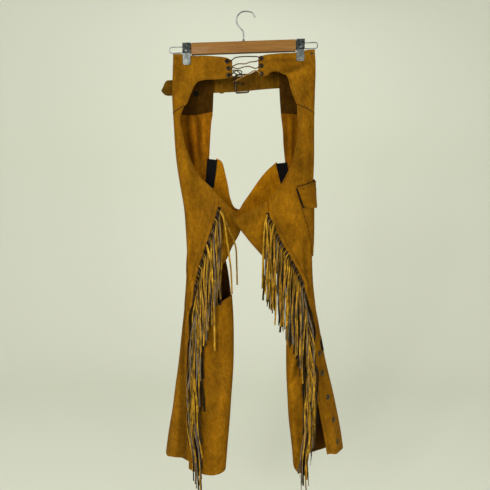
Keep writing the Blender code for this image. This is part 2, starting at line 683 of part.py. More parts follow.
def build_belt(mats):
    """The chaps' own belt across the front: buckle strap, long billet, keeper and buckle."""
    heel = BUCKLE_X - BUCKLE_LENGTH / 2
    strap("belt_buckle_strap", [(x, strap_y(x)) for x in spread(-104.0, heel - BUCKLE_WIRE / 2 - 0.4, 12)],
          BELT_HALF, mats["belt"])
    billet = strap("belt_billet", [(x, billet_y(x)) for x in spread(-208.0, 98.0, 24)], BELT_HALF - 0.5,
                   mats["belt"], tip=1.0)
    cutter_place = (BUCKLE_X, billet_y(BUCKLE_X), belt_z(BUCKLE_X))
    punch(billet, cutter_place, PRONG_HOLE)

    y_heel = strap_y(heel) - 0.9
    toe = BUCKLE_X + BUCKLE_LENGTH / 2
    y_toe = billet_y(toe) + STRAP / 2 + BUCKLE_WIRE / 2 + 1.0
    corners = []
    half = BELT_HALF + BUCKLE_WIRE / 2 + 1.2
    for x, y, sign in ((heel, y_heel, -1), (toe, y_toe, -1), (toe, y_toe, 1), (heel, y_heel, 1)):
        corners.append(Vector((x, y, belt_z(x) + sign * half)))
    ring("buckle_frame", corners, BUCKLE_WIRE, mats["buckle"])
    z = belt_z(BUCKLE_X)
    prong = [(heel + BUCKLE_WIRE / 2 + 2.4, y_heel, z), (BUCKLE_X - 6, y_heel - 0.5, z),
             (BUCKLE_X, billet_y(BUCKLE_X), z), (BUCKLE_X + 8, y_toe + 2.6, z),
             (toe, y_toe + BUCKLE_WIRE / 2 + 1.9, z)]
    tube("buckle_prong", prong, 3.0, mats["buckle"], 9)

    x = KEEPER_X
    inner = (strap_y(x) - STRAP / 2 - 0.6, billet_y(x) + STRAP / 2 + 0.6)
    band(x, inner, mats["belt"])


def spread(first, last, count):
    return [mix(first, last, k / (count - 1)) for k in range(count)]


def punch(obj, place, diameter):
    """Cuts the prong's hole through a strap."""
    bm = bmesh.new()
    bmesh.ops.create_cone(bm, cap_ends=True, segments=12, radius1=diameter / 2 * MM, radius2=diameter / 2 * MM,
                          depth=20 * MM, matrix=Matrix.Rotation(math.pi / 2, 4, "X"))
    mesh = bpy.data.meshes.new("prong_hole")
    bm.to_mesh(mesh)
    bm.free()
    cutter = bpy.data.objects.new("prong_hole", mesh)
    cutter.location = Vector(place) * MM
    cutter.hide_render = True
    cutter.display_type = "WIRE"
    bpy.context.scene.collection.objects.link(cutter)
    cut = obj.modifiers.new("prong hole", "BOOLEAN")
    cut.operation = "DIFFERENCE"
    cut.object = cutter


def ring(name, corners, wire, mat):
    """Four-sided closed frame of square wire, its corners mitred."""
    centre = sum(corners, Vector()) / 4
    across = (corners[1] - corners[0]).normalized()
    up = (corners[3] - corners[0]).normalized()
    normal = across.cross(up).normalized()
    verts, faces = [], []
    for corner in corners:
        side = across if (corner - centre).dot(across) > 0 else -across
        rise = up if (corner - centre).dot(up) > 0 else -up
        for out, lift in ((-1, -1), (1, -1), (1, 1), (-1, 1)):
            verts.append((corner + (side + rise) * (out * wire / 2) + normal * (lift * wire / 2)) * MM)
    for k in range(4):
        nxt = (k + 1) % 4
        for c in range(4):
            d = (c + 1) % 4
            faces.append((k * 4 + c, nxt * 4 + c, nxt * 4 + d, k * 4 + d))
    obj = make_object(name, verts, faces, mat)
    soften = obj.modifiers.new("soft edges", "BEVEL")
    soften.width = wire * 0.22 * MM
    soften.segments = 1
    return obj


def band(x, inner, mat):
    """Keeper loop round both straps."""
    half = BELT_HALF + 0.7
    z = belt_z(x)
    verts, faces = [], []
    for end in (-KEEPER_WIDTH / 2, KEEPER_WIDTH / 2):
        y_shift = billet_y(x + end) - billet_y(x)
        for grow in (0.0, KEEPER_LEATHER):
            for y, dz in ((inner[0] - grow, -half - grow), (inner[1] + grow, -half - grow),
                          (inner[1] + grow, half + grow), (inner[0] - grow, half + grow)):
                verts.append(Vector((x + end, y + y_shift, z + dz + BELT_SLOPE * end)) * MM)
    for c in range(4):
        d = (c + 1) % 4
        faces.append((c, d, 8 + d, 8 + c))
        faces.append((4 + c, 12 + c, 12 + d, 4 + d))
        faces.append((c, 4 + c, 4 + d, d))
        faces.append((8 + c, 8 + d, 12 + d, 12 + c))
    return make_object("belt_keeper", verts, faces, mat)


def extruded(name, outline, x_from, x_to, mat, slope=0.0):
    """Closed outline of (y, z) drawn out along X."""
    n = len(outline)
    verts = [Vector((x, y, z + slope * (x - (x_from + x_to) / 2))) * MM
             for x in (x_from, x_to) for y, z in outline]
    faces = [tuple(range(n)), tuple(range(2 * n - 1, n - 1, -1))]
    for k in range(n):
        nxt = (k + 1) % n
        faces.append((k, n + k, n + nxt, nxt))
    return make_object(name, verts, faces, mat)


def build_hanger(mats):
    """Wooden bar, hook, the two wire bails at its ends and the clips that slide on them."""
    half = BAR_THICKNESS / 2
    top, foot = HANGER_Z + BAR_HEIGHT / 2, HANGER_Z - BAR_HEIGHT / 2
    bar = extruded("hanger_bar", ((-half, foot), (half, foot), (half, top), (-half, top)),
                   HANGER_X - BAR_HALF_LENGTH, HANGER_X + BAR_HALF_LENGTH, mats["wood"], HANGER_SLOPE)
    soften = bar.modifiers.new("rounded edges", "BEVEL")
    soften.width = 2.5 * MM
    soften.segments = 2
    stem = top + 0.35
    hook = [(21.5, 0, -12.5), (15.5, 0, -2.0), (6.5, 0, 0.9), (0, 0, HOOK_WIRE / 2), (-9.5, 0, 0.2),
            (-18.0, 0, -6.0), (-22.5, 0, -16.0), (-21.0, 0, -27.0), (-14.5, 0, -36.0), (-8.0, 0, -43.0),
            (HANGER_X, 0, -52.0), (HANGER_X, 0, stem)]
    tube("hanger_hook", hook, HOOK_WIRE, mats["steel"], 24)
    for side, sign in (("left", -1), ("right", 1)):
        bail = []
        inner = HANGER_X + sign * (BAR_HALF_LENGTH + 0.4)
        reach = HANGER_X + sign * BAIL_REACH
        corner = BAIL_HALF_HEIGHT * 0.55
        for x, dz in ((inner, BAIL_HALF_HEIGHT), (mix(inner, reach, 0.5), BAIL_HALF_HEIGHT),
                      (reach - sign * corner * 1.6, BAIL_HALF_HEIGHT), (reach - sign * corner * 0.35, corner * 1.35),
                      (reach, 0), (reach - sign * corner * 0.35, -corner * 1.35),
                      (reach - sign * corner * 1.6, -BAIL_HALF_HEIGHT), (mix(inner, reach, 0.5), -BAIL_HALF_HEIGHT),
                      (inner, -BAIL_HALF_HEIGHT)):
            bail.append((x, 0, hanger_z(x) + dz))
        tube(f"bail_{side}", bail, BAIL_WIRE, mats["steel"], 20)
        build_clip(side, HANGER_X + sign * CLIP_REACH, mats)


def build_clip(side, x, mats):
    """Folded steel clip over the bail, its jaws on both faces of the waistband, and its dark grip."""
    z = hanger_z(x)
    gap, plate = CLIP_HALF_GAP, CLIP_PLATE
    top, foot = z + CLIP_TOP, z + CLIP_FOOT
    outline = ((-gap, foot), (-gap, top - plate), (gap, top - plate), (gap, foot), (gap + plate, foot),
               (gap + plate, top - 1.0), (gap + plate - 1.0, top), (-gap - plate + 1.0, top),
               (-gap - plate, top - 1.0), (-gap - plate, foot))
    half = CLIP_WIDTH / 2
    extruded(f"clip_{side}", outline, x - half, x + half, mats["steel"], HANGER_SLOPE)
    inner = gap + plate + 0.35
    outer = inner + 2.2
    shell = ((-inner, z + GRIP_FOOT), (-inner, top + 0.4), (inner, top + 0.4), (inner, z + GRIP_FOOT),
             (outer, z + GRIP_FOOT), (outer, top + 1.6), (outer - 1.2, top + 2.8), (-outer + 1.2, top + 2.8),
             (-outer, top + 1.6), (-outer, z + GRIP_FOOT))
    extruded(f"clip_grip_{side}", shell, x - half - 0.8, x + half + 0.8, mats["grip"], HANGER_SLOPE)


def wall_front(leg, x, z):
    """Depth of the outer face of the back wall at x."""
    row = section(leg, z)
    low, high = sorted((row["inner_x"], row["outer_x"]))
    x = min(max(x, low + 1), high - 1)
    return leg_point(leg, turn_at(leg, x, z), z)[1] - SUEDE / 2


def hang_plane(side, z):
    """Depth just outside the back wall over the stretch that the strands cross."""
    leg = LEGS[side]
    seam_x = leg_point(leg, seam_turn(side, max(z, HEM_Z)), max(z, HEM_Z))[0]
    spread_in = mix(86, 26, smooth((-640 - z) / 230.0))
    return min(wall_front(leg, seam_x - leg["side"] * spread_in * k / 6, max(z, HEM_Z)) for k in range(-1, 7))


def build_fringe(name, side, z_top, z_foot, pitch, lanes, size, mat):
    """A narrow welt along the seam with its cut strands, all in one piece.

    A strand leaves the welt's face and hangs; each one further up hangs further out, so that
    no two of them cross.
    """
    leg = LEGS[side]
    width, thick = size
    stations = []
    z = z_top
    while z > z_foot:
        stations.append((z, z - width - 0.6))
        z -= pitch
    verts, faces = [], []

    def cut(z_here):
        """Four corners of the welt at a height: outer-side and inner-side edges, front and back."""
        turn = seam_turn(side, z_here)
        x_mid = leg_point(leg, turn, z_here)[0]
        corners = []
        for off in (WELT_OFF, WELT_OFF + WELT_WIDTH):
            x = x_mid - leg["side"] * off
            t = turn_at(leg, x, z_here)
            clear = mix(WELT_CLEAR_AT_TOP, WELT_CLEAR, smooth((z_top - z_here) / WELT_EASE))
            for lift in (SUEDE / 2 + clear, SUEDE / 2 + clear + WELT_THICK):
                corners.append(outward(leg, t, z_here, lift)[0])
        back_a, front_a, back_b, front_b = corners
        base = len(verts)
        verts.extend((front_a, front_b, back_b, back_a))
        return base

    cuts_made = []
    for z1, z2 in stations:
        cuts_made.append(cut(z1))
        cuts_made.append(cut(z2))
    faces.append((cuts_made[0], cuts_made[0] + 1, cuts_made[0] + 2, cuts_made[0] + 3))
    faces.append(tuple(cuts_made[-1] + k for k in (3, 2, 1, 0)))
    for n, (a, b) in enumerate(zip(cuts_made, cuts_made[1:])):
        for k in range(4):
            j = (k + 1) % 4
            if k == 0 and n % 2 == 0:
                continue
            faces.append((a + k, a + j, b + j, b + k))
    for n, (z1, z2) in enumerate(stations):
        a, b = cuts_made[2 * n], cuts_made[2 * n + 1]
        ring_before = (a, a + 1, b + 1, b)
        x_root = (verts[a][0] + verts[a + 1][0]) / 2
        length = FRINGE_LENGTH * (1 + 0.03 * math.sin(n * 2.3 + 1)) - 3 * (n % 3)
        lane = lanes[n % len(lanes)]
        for step, down in enumerate((3.0, 34.0, 88.0, 150.0, length)):
            z = (z1 + z2) / 2 - down
            x = x_root - leg["side"] * lane * smooth(down / 60.0)
            x += 1.6 * math.sin(z / 47.0)
            out = 1.2 + down * HANG_OUT
            y = mix(verts[a][1], hang_plane(side, z), smooth((down + 6) / 30.0))
            y = min(y, hang_plane(side, z) + 30 * (1 - smooth((down + 6) / 30.0))) - out
            half = width / 2 * (0.85 if step == 4 else 1.0)
            s = -leg["side"]
            base = len(verts)
            verts.extend(((x - s * half, y - thick, z), (x + s * half, y - thick, z),
                          (x + s * half, y, z), (x - s * half, y, z)))
            ring_now = (base, base + 1, base + 2, base + 3)
            for k in range(4):
                j = (k + 1) % 4
                faces.append((ring_before[k], ring_before[j], ring_now[j], ring_now[k]))
            ring_before = ring_now
        faces.append(ring_before)
    return make_object(name, metres(verts), faces, mat)


def build_trim(mats):
    """Small rivet at the top of the right hip and the back of the snap inside the left front."""
    place, normal = back_face("right", RIVET[0], RIVET[1], 0.45)
    disc("hip_rivet", place, normal, 3.4, 1.4, mats["rivet"], sides=12)
    leg = LEGS["left"]
    x, z = INSIDE_SNAP
    place, normal = outward(leg, turn_at(leg, x, z, False), z, -(SUEDE / 2 + 1.0))
    disc("inside_snap", place, -normal, 5.4, 2.0, mats["snap"], sides=14)


def main():
    for obj in list(bpy.data.objects):
        bpy.data.objects.remove(obj)
    mats = {
        "suede": material("suede", (0.27, 0.12, 0.012), 0.95),
        "yoke": material("yoke_suede", (0.22, 0.10, 0.012), 0.95),
        "gusset": material("gusset", (0.01, 0.01, 0.01), 0.9),
        "belt": material("belt_leather", (0.25, 0.11, 0.012), 0.85),
        "lace": material("lace", (0.12, 0.05, 0.015), 0.7),
        "eyelet": material("eyelet", (0.10, 0.07, 0.05), 0.4, 0.9),
        "snap": material("snap", (0.12, 0.11, 0.09), 0.4, 0.9),
        "rivet": material("rivet", (0.16, 0.05, 0.02), 0.4, 0.9),
        "buckle": material("buckle", (0.12, 0.09, 0.06), 0.35, 0.9),
        "steel": material("steel", (0.45, 0.45, 0.43), 0.25, 1.0),
        "grip": material("grip", (0.03, 0.035, 0.035), 0.5),
        "wood": material("wood", (0.42, 0.24, 0.10), 0.45),
    }
    for side in LEGS:
        build_yoke(side, mats)
        build_leg_outer(side, mats)
        build_thigh_inner(side, mats)
        build_calf_inner(side, mats)
        build_gusset(side, mats)
        build_fringe(f"fringe_thigh_{side}", side, -452, -636, THIGH_PITCH, (0.0,), (2.3, 1.3), mats["suede"])
        build_fringe(f"fringe_shin_{side}", side, -650, -1004, SHIN_PITCH, SHIN_LANES, (4.2, 0.9), mats["suede"])
    build_pocket(mats)
    build_snaps(mats)
    build_trim(mats)
    build_lacing(mats)
    build_belt(mats)
    build_hanger(mats)


main()
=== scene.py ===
import math
import random

import bmesh
import bpy
import numpy as np
from mathutils import Matrix, Vector


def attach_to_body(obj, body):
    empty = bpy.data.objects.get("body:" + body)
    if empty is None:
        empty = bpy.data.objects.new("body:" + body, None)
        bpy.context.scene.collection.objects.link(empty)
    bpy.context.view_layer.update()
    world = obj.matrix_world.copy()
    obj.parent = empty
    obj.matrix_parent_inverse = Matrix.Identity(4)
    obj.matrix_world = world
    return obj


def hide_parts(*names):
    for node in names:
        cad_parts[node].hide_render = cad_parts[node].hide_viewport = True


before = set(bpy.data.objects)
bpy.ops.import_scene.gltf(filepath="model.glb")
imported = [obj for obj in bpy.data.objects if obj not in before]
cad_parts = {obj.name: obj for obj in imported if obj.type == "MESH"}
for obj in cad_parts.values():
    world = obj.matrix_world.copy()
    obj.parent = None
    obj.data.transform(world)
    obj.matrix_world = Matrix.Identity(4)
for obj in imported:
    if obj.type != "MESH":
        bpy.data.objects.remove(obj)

bl_info = {
    "name": "Fringed leather chaps",
    "version": (1, 0, 0),
    "blender": (4, 5, 0),
    "location": "3D View > Sidebar > Chaps",
    "description": "Builds fringed suede chaps on a wooden clip hanger, seen from the wearer's back",
    "category": "Add Mesh",
}

# Sizes are in millimetres in the tables and become metres when a mesh is made. The origin is the
# inside top of the hanger's hook; X runs across, Z up, and the laced back faces -Y.
MM = 0.001
BODY = "root"
SHARP_FROM = math.radians(40)
SUEDE = 2.0
STRAP = 2.4
GUSSET = 1.2
TOUCH = 0.35
SEAM = 0.4

# Hanger: it hangs a little lower on the left
HANGER_X, HANGER_Z = -6.0, -82.0
HANGER_SLOPE = 0.0325
HOOK_WIRE = 3.2
BAR_HALF_LENGTH, BAR_HEIGHT, BAR_THICKNESS = 125.0, 25.0, 12.0
BAIL_WIRE, BAIL_REACH, BAIL_HALF_HEIGHT = 2.6, 177.0, 6.8
CLIP_REACH, CLIP_WIDTH, CLIP_PLATE = 136.0, 18.0, 1.4
CLIP_HALF_GAP = 3.1
CLIP_TOP, CLIP_FOOT = 12.5, -35.5
GRIP_FOOT = -8.0

# Pocket, snapped shin opening and other trim: snaps are (turn, z), the opening's free edge is (z, turn)
POCKET_LEATHER = 1.8
FLAP_STANDS_OFF = 5.0
SNAPS = ((46, -839), (47, -895), (46, -964), (44, -1031), (42, -1097))
SHIN_EDGE = ((-836, 81), (-860, 79), (-905, 77), (-960, 77), (-1040, 76), (-1156, 74))
RIVET = (157.0, -96.0)
INSIDE_SNAP = (-122.0, -186.0)

# Lacing at the centre back: the routes are (x, y off the band, z)
LACE = 2.5
EYELETS = {("left", 1): (-45, -116), ("left", 2): (-41, -133), ("left", 3): (-41, -149),
           ("right", 1): (36, -109), ("right", 2): (36, -127), ("right", 3): (36, -146)}
LACE_ROUTES = (
    ("lace_1", (("left", 1), ("right", 1)), "lace_dark",
     ((-34, -3.5, -115), (-24, -5.0, -109), (0, -6.0, -107), (26, -4.0, -107))),
    ("lace_2", (("left", 2), ("right", 1)), "lace",
     ((-32, -4.0, -129), (-19, -6.5, -124), (-2, -7.5, -124), (9, -6.5, -120), (26, -5.0, -117))),
    ("lace_3", (("left", 2), ("right", 2)), "lace",
     ((-31, -5.5, -132), (-19, -8.0, -135), (-7, -8.5, -132), (7, -8.0, -130), (23, -6.0, -134))),
    ("lace_diagonal", (None, ("right", 3)), "lace_tan",
     ((-30, -4.0, -164), (-21, -8.0, -161), (-7, -10.5, -154), (8, -9.0, -146), (22, -6.0, -139))),
    ("lace_knot", (("left", 3), None), "lace_dark",
     ((-32, -7.0, -146), (-22, -9.0, -139), (-12, -10.0, -141), (-10, -11.0, -145), (-18, -9.5, -149),
      (-28, -8.0, -145), (-30, -11.0, -139), (-20, -12.5, -142), (-9, -10.0, -153), (-13, -9.0, -158),
      (-23, -8.0, -152), (-31, -7.5, -158), (-26, -7.0, -164))),
)

# Belt and buckle across the front
BELT_Z, BELT_SLOPE = -163.0, 0.045
BELT_HALF = 19.0
BELT_LIFT = SUEDE / 2 + 2 * TOUCH + STRAP / 2
BUCKLE_X, BUCKLE_LENGTH, BUCKLE_WIRE = -9.5, 32.0, 4.0
KEEPER_X, KEEPER_WIDTH, KEEPER_LEATHER = -60.0, 10.0, 1.2

# Leg sections: a row for each height. The outer side is the fold at the hip side, the inner
# side is the crotch and inseam; depth is half of the hollow, front to back.
LEG_COLUMNS = ("z", "outer_x", "outer_y", "inner_x", "inner_y", "depth")
LEFT_LEG = (
    (-84, -173, 0, 84, 0, 7),
    (-120, -175, 0, 84, 0, 11),
    (-156, -177, 0, 84, 0, 17),
    (-192, -178, 0, 80, 0, 22),
    (-240, -176, 0, 66, 0, 27),
    (-323, -172, 0, 24, 4, 33),
    (-400, -163, 0, -2, 10, 34),
    (-469, -153, 2, -12, 14, 31),
    (-520, -150, 4, -14, 14, 27),
    (-562, -149, 7, -34, 10, 26),
    (-605, -151, 11, -42, 6, 27),
    (-646, -153, 15, -40, 2, 29),
    (-703, -158, 20, -35, -2, 32),
    (-801, -169, 30, -32, -6, 34),
    (-900, -182, 41, -35, -9, 36),
    (-1000, -197, 52, -42, -11, 39),
    (-1085, -212, 60, -49, -12, 42),
    (-1160, -224, 66, -56, -12, 45),
)
RIGHT_LEG = (
    (-76, 162, 0, -84, 0, 7),
    (-112, 166, 0, -84, 0, 11),
    (-146, 167, 0, -84, 0, 17),
    (-182, 166, 0, -80, 0, 22),
    (-235, 165, 0, -66, 0, 27),
    (-323, 166, 0, -40, -6, 33),
    (-400, 165, 0, -32, -16, 34),
    (-484, 165, 2, -32, -26, 30),
    (-537, 166, 3, 3, -22, 27),
    (-585, 166, 4, 43, -14, 27),
    (-662, 170, 8, 97, -4, 29),
    (-733, 182, 18, 101, -6, 32),
    (-802, 196, 31, 103, -8, 34),
    (-900, 219, 47, 105, -10, 36),
    (-991, 242, 62, 110, -11, 39),
    (-1073, 260, 74, 119, -12, 42),
    (-1160, 276, 86, 128, -12, 46),
)

# Large soft folds: turn is degrees round the section from the outer fold, positive on the
# back, negative on the front; a positive sink goes into the hollow.
FOLD_COLUMNS = ("turn", "spread", "z_top", "z_foot", "sink")
LEFT_FOLDS = (
    (24, 16, -520, -720, -3.0),
    (44, 18, -560, -760, 4.0),
    (62, 16, -860, -1190, 5.0),
    (120, 20, -760, -1190, -3.5),
    (-60, 24, -260, -620, 5.0),
    (-110, 22, -300, -760, -4.0),
    (-90, 26, -760, -1190, 5.0),
)
RIGHT_FOLDS = (
    (30, 16, -240, -420, -3.0),
    (70, 18, -560, -800, 3.0),
    (76, 28, -790, -1330, 7.0),
    (22, 12, -830, -1250, -3.0),
    (118, 20, -780, -1190, -4.0),
    (-70, 24, -260, -640, 5.0),
    (-120, 22, -320, -800, -4.0),
    (-80, 26, -780, -1190, 6.0),
)

# Cut lines read from the garment, as (x, z) on the wall, from the waist down or from the
# centre outwards. "back" and "front" say on which side of the hip fold a line lies.
CUTS = {
    "left": {
        "back_top": ((-33, -114), (-48, -107), (-72, -104), (-98, -102), (-132, -100), (-156, -96.5),
                     (-171, -96.5)),
        "back_free_foot": ((-32, -153), (-60, -158), (-104, -160), (-118, -166), (-126, -178), (-140, -212),
                           (-148, -220)),
        "front_seam_foot": ((-140, -242), (-110, -238), (-83, -233)),
        "front_top": ((-140, -101), (-110, -108), (-78, -118)),
        "seat_edge": ((-148, -220), (-158, -250), (-154, -275), (-144, -319), (-119, -378), (-88, -410),
                      (-65, -436)),
        "fringe": ((-65, -436), (-72, -470), (-95, -540), (-116, -600), (-130, -658), (-134, -720),
                   (-138, -800), (-143, -900), (-147, -1000), (-150, -1090), (-152, -1156)),
        "front_edge": ((-83, -233), (-87, -260), (-91, -310), (-93, -340), (-97, -380), (-100, -420)),
        "gusset_edge": ((-77, -343), (-81, -375), (-86, -412)),
        "crotch_back": ((-65, -436), (-45, -456), (-27, -472)),
        "crotch_front": ((-27, -466), (-39, -445), (-46, -410), (-52, -382), (-60, -351), (-75, -340)),
        "flap_foot": ((-90, -632), (-60, -606), (-41, -575), (-24, -538)),
        "calf_top": ((-100, -708), (-73, -702), (-50, -690)),
        "front_seam": ((-101, -480), (-93, -530), (-70, -570), (-48, -620)),
        "flap_meets_seam": -662,
        "flap_meets_front": -545,
        "calf_meets_seam": -700,
        "flap_fold_z": -520,
        "calf_fold_z": -683,
    },
    "right": {
        "back_top": ((29, -106), (46, -101), (75, -97.5), (104, -94.5), (124, -92), (146, -87), (160, -86)),
        "back_free_foot": ((29, -150), (48, -150), (60, -141), (74, -139), (90, -146), (101, -160),
                           (106, -180), (116, -205), (122, -218)),
        "front_seam_foot": ((132, -240), (108, -238), (87, -237)),
        "front_top": ((130, -93), (105, -99), (80, -108)),
        "seat_edge": ((122, -218), (124, -268), (123, -295), (112, -347), (92, -392), (62, -436), (52, -447)),
        "fringe": ((52, -447), (57, -480), (88, -545), (126, -610), (148, -655), (160, -696), (165, -760),
                   (166, -860), (164, -960), (162, -1060), (161, -1156)),
        "front_edge": ((87, -237), (92, -275), (94, -310), (98, -350), (104, -385), (108, -430)),
        "gusset_edge": ((80, -353), (88, -385), (94, -412)),
        "crotch_back": ((52, -447), (30, -459), (2, -472), (-22, -484)),
        "crotch_front": ((-22, -476), (0, -442), (29, -400), (53, -371), (77, -350)),
        "flap_foot": ((135, -652), (122, -650), (110, -650)),
        "calf_top": ((150, -712), (130, -712), (112, -706)),
        "front_seam": ((112, -480), (110, -540), (107, -600), (105, -650)),
        "flap_meets_seam": -664,
        "flap_meets_front": -650,
        "calf_meets_seam": -706,
        "flap_fold_z": -655,
        "calf_fold_z": -700,
    },
}
HEM_Z = -1156
SEAM_TURN = {"left": 0.45, "right": 1.0}     # degrees left free on each side of the fringe seam
FRONT_SEAM_TURN = 192          # where the inner pieces meet the front, degrees past the back
MM_PER_DEGREE = 1.05           # along the wall, for the creases
FULL_CREASE = 4.0              # relief at which a crease gets its strongest painted shade or painted highlight

# Creases on the walls, from (x, z) to (x, z): a positive height stands out, a negative one is a trough
CREASE_COLUMNS = ("face", "x_a", "z_a", "x_b", "z_b", "width", "height")
LEFT_CREASES = (
    ("back", -168, -118, -150, -205, 11, -2.6),
    ("back", -160, -150, -166, -260, 9, 2.2),
    ("back", -120, -112, -128, -158, 9, 1.8),
    ("back", -150, -300, -139, -520, 13, 2.6),
    ("back", -134, -330, -112, -470, 12, -2.6),
    ("back", -143, -545, -133, -672, 7, 5.5),
    ("back", -151, -560, -146, -660, 6, -4.2),
    ("back", -134, -690, -150, -775, 8, 4.6),
    ("back", -142, -705, -132, -790, 7, -4.4),
    ("back", -158, -640, -163, -860, 12, -2.6),
    ("back", -160, -780, -176, -1010, 14, 2.6),
    ("back", -160, -730, -168, -1165, 11, -8.0),
    ("back", -182, -930, -200, -1156, 15, 2.0),
    ("back", -104, -520, -70, -600, 13, 2.4),
    ("back", -58, -500, -84, -640, 11, -2.8),
    ("back", -40, -505, -62, -590, 10, 2.2),
    ("back", -118, -740, -96, -905, 14, 2.4),
    ("back", -84, -760, -72, -1000, 13, -2.4),
    ("back", -62, -880, -82, -1120, 15, 2.6),
    ("back", -116, -930, -122, -1150, 11, -2.6),
    ("front", -150, -260, -120, -420, 14, -3.4),
    ("front", -143, -238, -136, -390, 5, 4.4),
    ("front", -131, -242, -123, -400, 5, -5.0),
    ("front", -120, -236, -112, -350, 4, 4.6),
    ("front", -108, -240, -103, -330, 4, -4.4),
    ("front", -138, -190, -128, -330, 10, 2.4),
    ("front", -96, -470, -130, -640, 15, 3.0),
    ("front", -60, -560, -98, -700, 12, -3.4),
    ("front", -132, -700, -112, -940, 16, -3.2),
    ("front", -76, -760, -92, -1010, 14, 3.0),
    ("front", -150, -880, -176, -1120, 15, 3.2),
    ("front", -52, -960, -70, -1150, 12, -2.4),
)
RIGHT_CREASES = (
    ("back", 148, -129, 78, -155, 8, 4.6),
    ("back", 144, -118, 74, -145, 7, -5.0),
    ("back", 124, -110, 50, -113, 5, -2.6),
    ("back", 118, -104, 56, -105, 4, 1.8),
    ("back", 150, -150, 128, -225, 11, -2.4),
    ("back", 140, -250, 146, -340, 10, 2.4),
    ("back", 156, -270, 150, -400, 9, -2.4),
    ("back", 128, -300, 132, -410, 10, -2.4),
    ("back", 100, -420, 122, -520, 13, 2.8),
    ("back", 70, -470, 30, -520, 13, 2.6),
    ("back", 40, -462, 6, -500, 11, -2.6),
    ("back", 84, -500, 50, -575, 13, -2.8),
    ("back", 116, -560, 80, -622, 12, 2.6),
    ("back", 150, -540, 156, -690, 10, -2.8),
    ("back", 140, -620, 150, -680, 8, 2.4),
    ("back", 145, -835, 116, -900, 9, -8.0),
    ("back", 136, -872, 112, -922, 8, 5.0),
    ("back", 150, -800, 132, -850, 9, 2.8),
    ("back", 122, -780, 118, -960, 12, 2.4),
    ("back", 140, -930, 134, -1120, 12, -2.4),
    ("back", 122, -1010, 140, -1150, 12, 2.4),
    ("back", 178, -700, 190, -800, 10, -2.6),
    ("back", 196, -860, 214, -1010, 12, -2.2),
    ("back", 214, -960, 236, -1140, 12, 2.2),
    ("front", 148, -250, 128, -420, 13, -3.4),
    ("front", 122, -236, 116, -370, 5, 4.2),
    ("front", 110, -240, 112, -380, 5, -4.2),
    ("front", 98, -238, 103, -330, 4, 2.6),
    ("front", 150, -430, 100, -560, 15, 3.0),
    ("front", 60, -480, 96, -610, 13, -3.2),
    ("front", 140, -620, 150, -760, 12, -3.0),
    ("front", 130, -760, 170, -960, 15, 3.2),
    ("front", 176, -820, 214, -1060, 14, -3.4),
    ("front", 150, -960, 176, -1150, 13, 2.6),
    ("front", 236, -980, 252, -1140, 10, 2.4),
)


def columns(table, names):
    """Turns a table's rows into dictionaries."""
    return [dict(zip(names, row)) for row in table]


LEGS = {
    "left": {"side": -1, "rows": columns(LEFT_LEG, LEG_COLUMNS), "folds": columns(LEFT_FOLDS, FOLD_COLUMNS),
             "creases": columns(LEFT_CREASES, CREASE_COLUMNS)},
    "right": {"side": 1, "rows": columns(RIGHT_LEG, LEG_COLUMNS), "folds": columns(RIGHT_FOLDS, FOLD_COLUMNS),
              "creases": columns(RIGHT_CREASES, CREASE_COLUMNS)},
}


def smooth(t):
    t = np.clip(t, 0.0, 1.0)
    return t * t * (3 - 2 * t)


def mix(a, b, t):
    return a + (b - a) * t


def sampled(points, count):
    """Catmull-Rom curve through the points, at even steps of its length."""
    p = np.asarray(points, dtype=float)
    p = np.vstack((2 * p[0] - p[1], p, 2 * p[-1] - p[-2]))
    f = np.linspace(0, 1, 41)[:-1, None]
    pieces = []
    for p0, p1, p2, p3 in zip(p, p[1:], p[2:], p[3:]):
        pieces.append(0.5 * (2 * p1 + (p2 - p0) * f + (2 * p0 - 5 * p1 + 4 * p2 - p3) * f ** 2
                             + (3 * p1 - p0 - 3 * p2 + p3) * f ** 3))
    fine = np.vstack(pieces + [p[-2:-1]])
    runs = np.concatenate(([0.0], np.cumsum(np.linalg.norm(np.diff(fine, axis=0), axis=1))))
    want = np.linspace(0, runs[-1], count)
    return np.stack([np.interp(want, runs, fine[:, k]) for k in range(p.shape[1])], axis=1)


def section(leg, z):
    """The leg's section at a height, read smoothly from its rows."""
    rows = leg["rows"]
    if z >= rows[0]["z"]:
        return rows[0]
    if z <= rows[-1]["z"]:
        return rows[-1]
    k = next(n for n in range(len(rows) - 1) if rows[n + 1]["z"] <= z)
    a, b = rows[k], rows[k + 1]
    t = (a["z"] - z) / (a["z"] - b["z"])
    before = rows[k - 1] if k else a
    after = rows[k + 2] if k + 2 < len(rows) else b
    span = b["z"] - a["z"]
    values = {}
    for name in LEG_COLUMNS[1:]:
        slope_a = (b[name] - before[name]) / (b["z"] - before["z"]) * span
        slope_b = (after[name] - a[name]) / (after["z"] - a["z"]) * span
        values[name] = ((2 * t ** 3 - 3 * t * t + 1) * a[name] + (t ** 3 - 2 * t * t + t) * slope_a
                        + (3 * t * t - 2 * t ** 3) * b[name] + (t ** 3 - t * t) * slope_b)
    return values


def dense(leg):
    heights = np.arange(leg["rows"][-1]["z"], leg["rows"][0]["z"] + 1, 2.0)
    rows = [section(leg, z) for z in heights]
    return heights, {name: np.array([row[name] for row in rows]) for name in LEG_COLUMNS[1:]}


for each_leg in LEGS.values():
    each_leg["heights"], each_leg["values"] = dense(each_leg)


def sections(leg, z):
    return {name: np.interp(z, leg["heights"], leg["values"][name]) for name in LEG_COLUMNS[1:]}


def hanger_z(x):
    """Height of the hanger's middle line."""
    return HANGER_Z + (x - HANGER_X) * HANGER_SLOPE


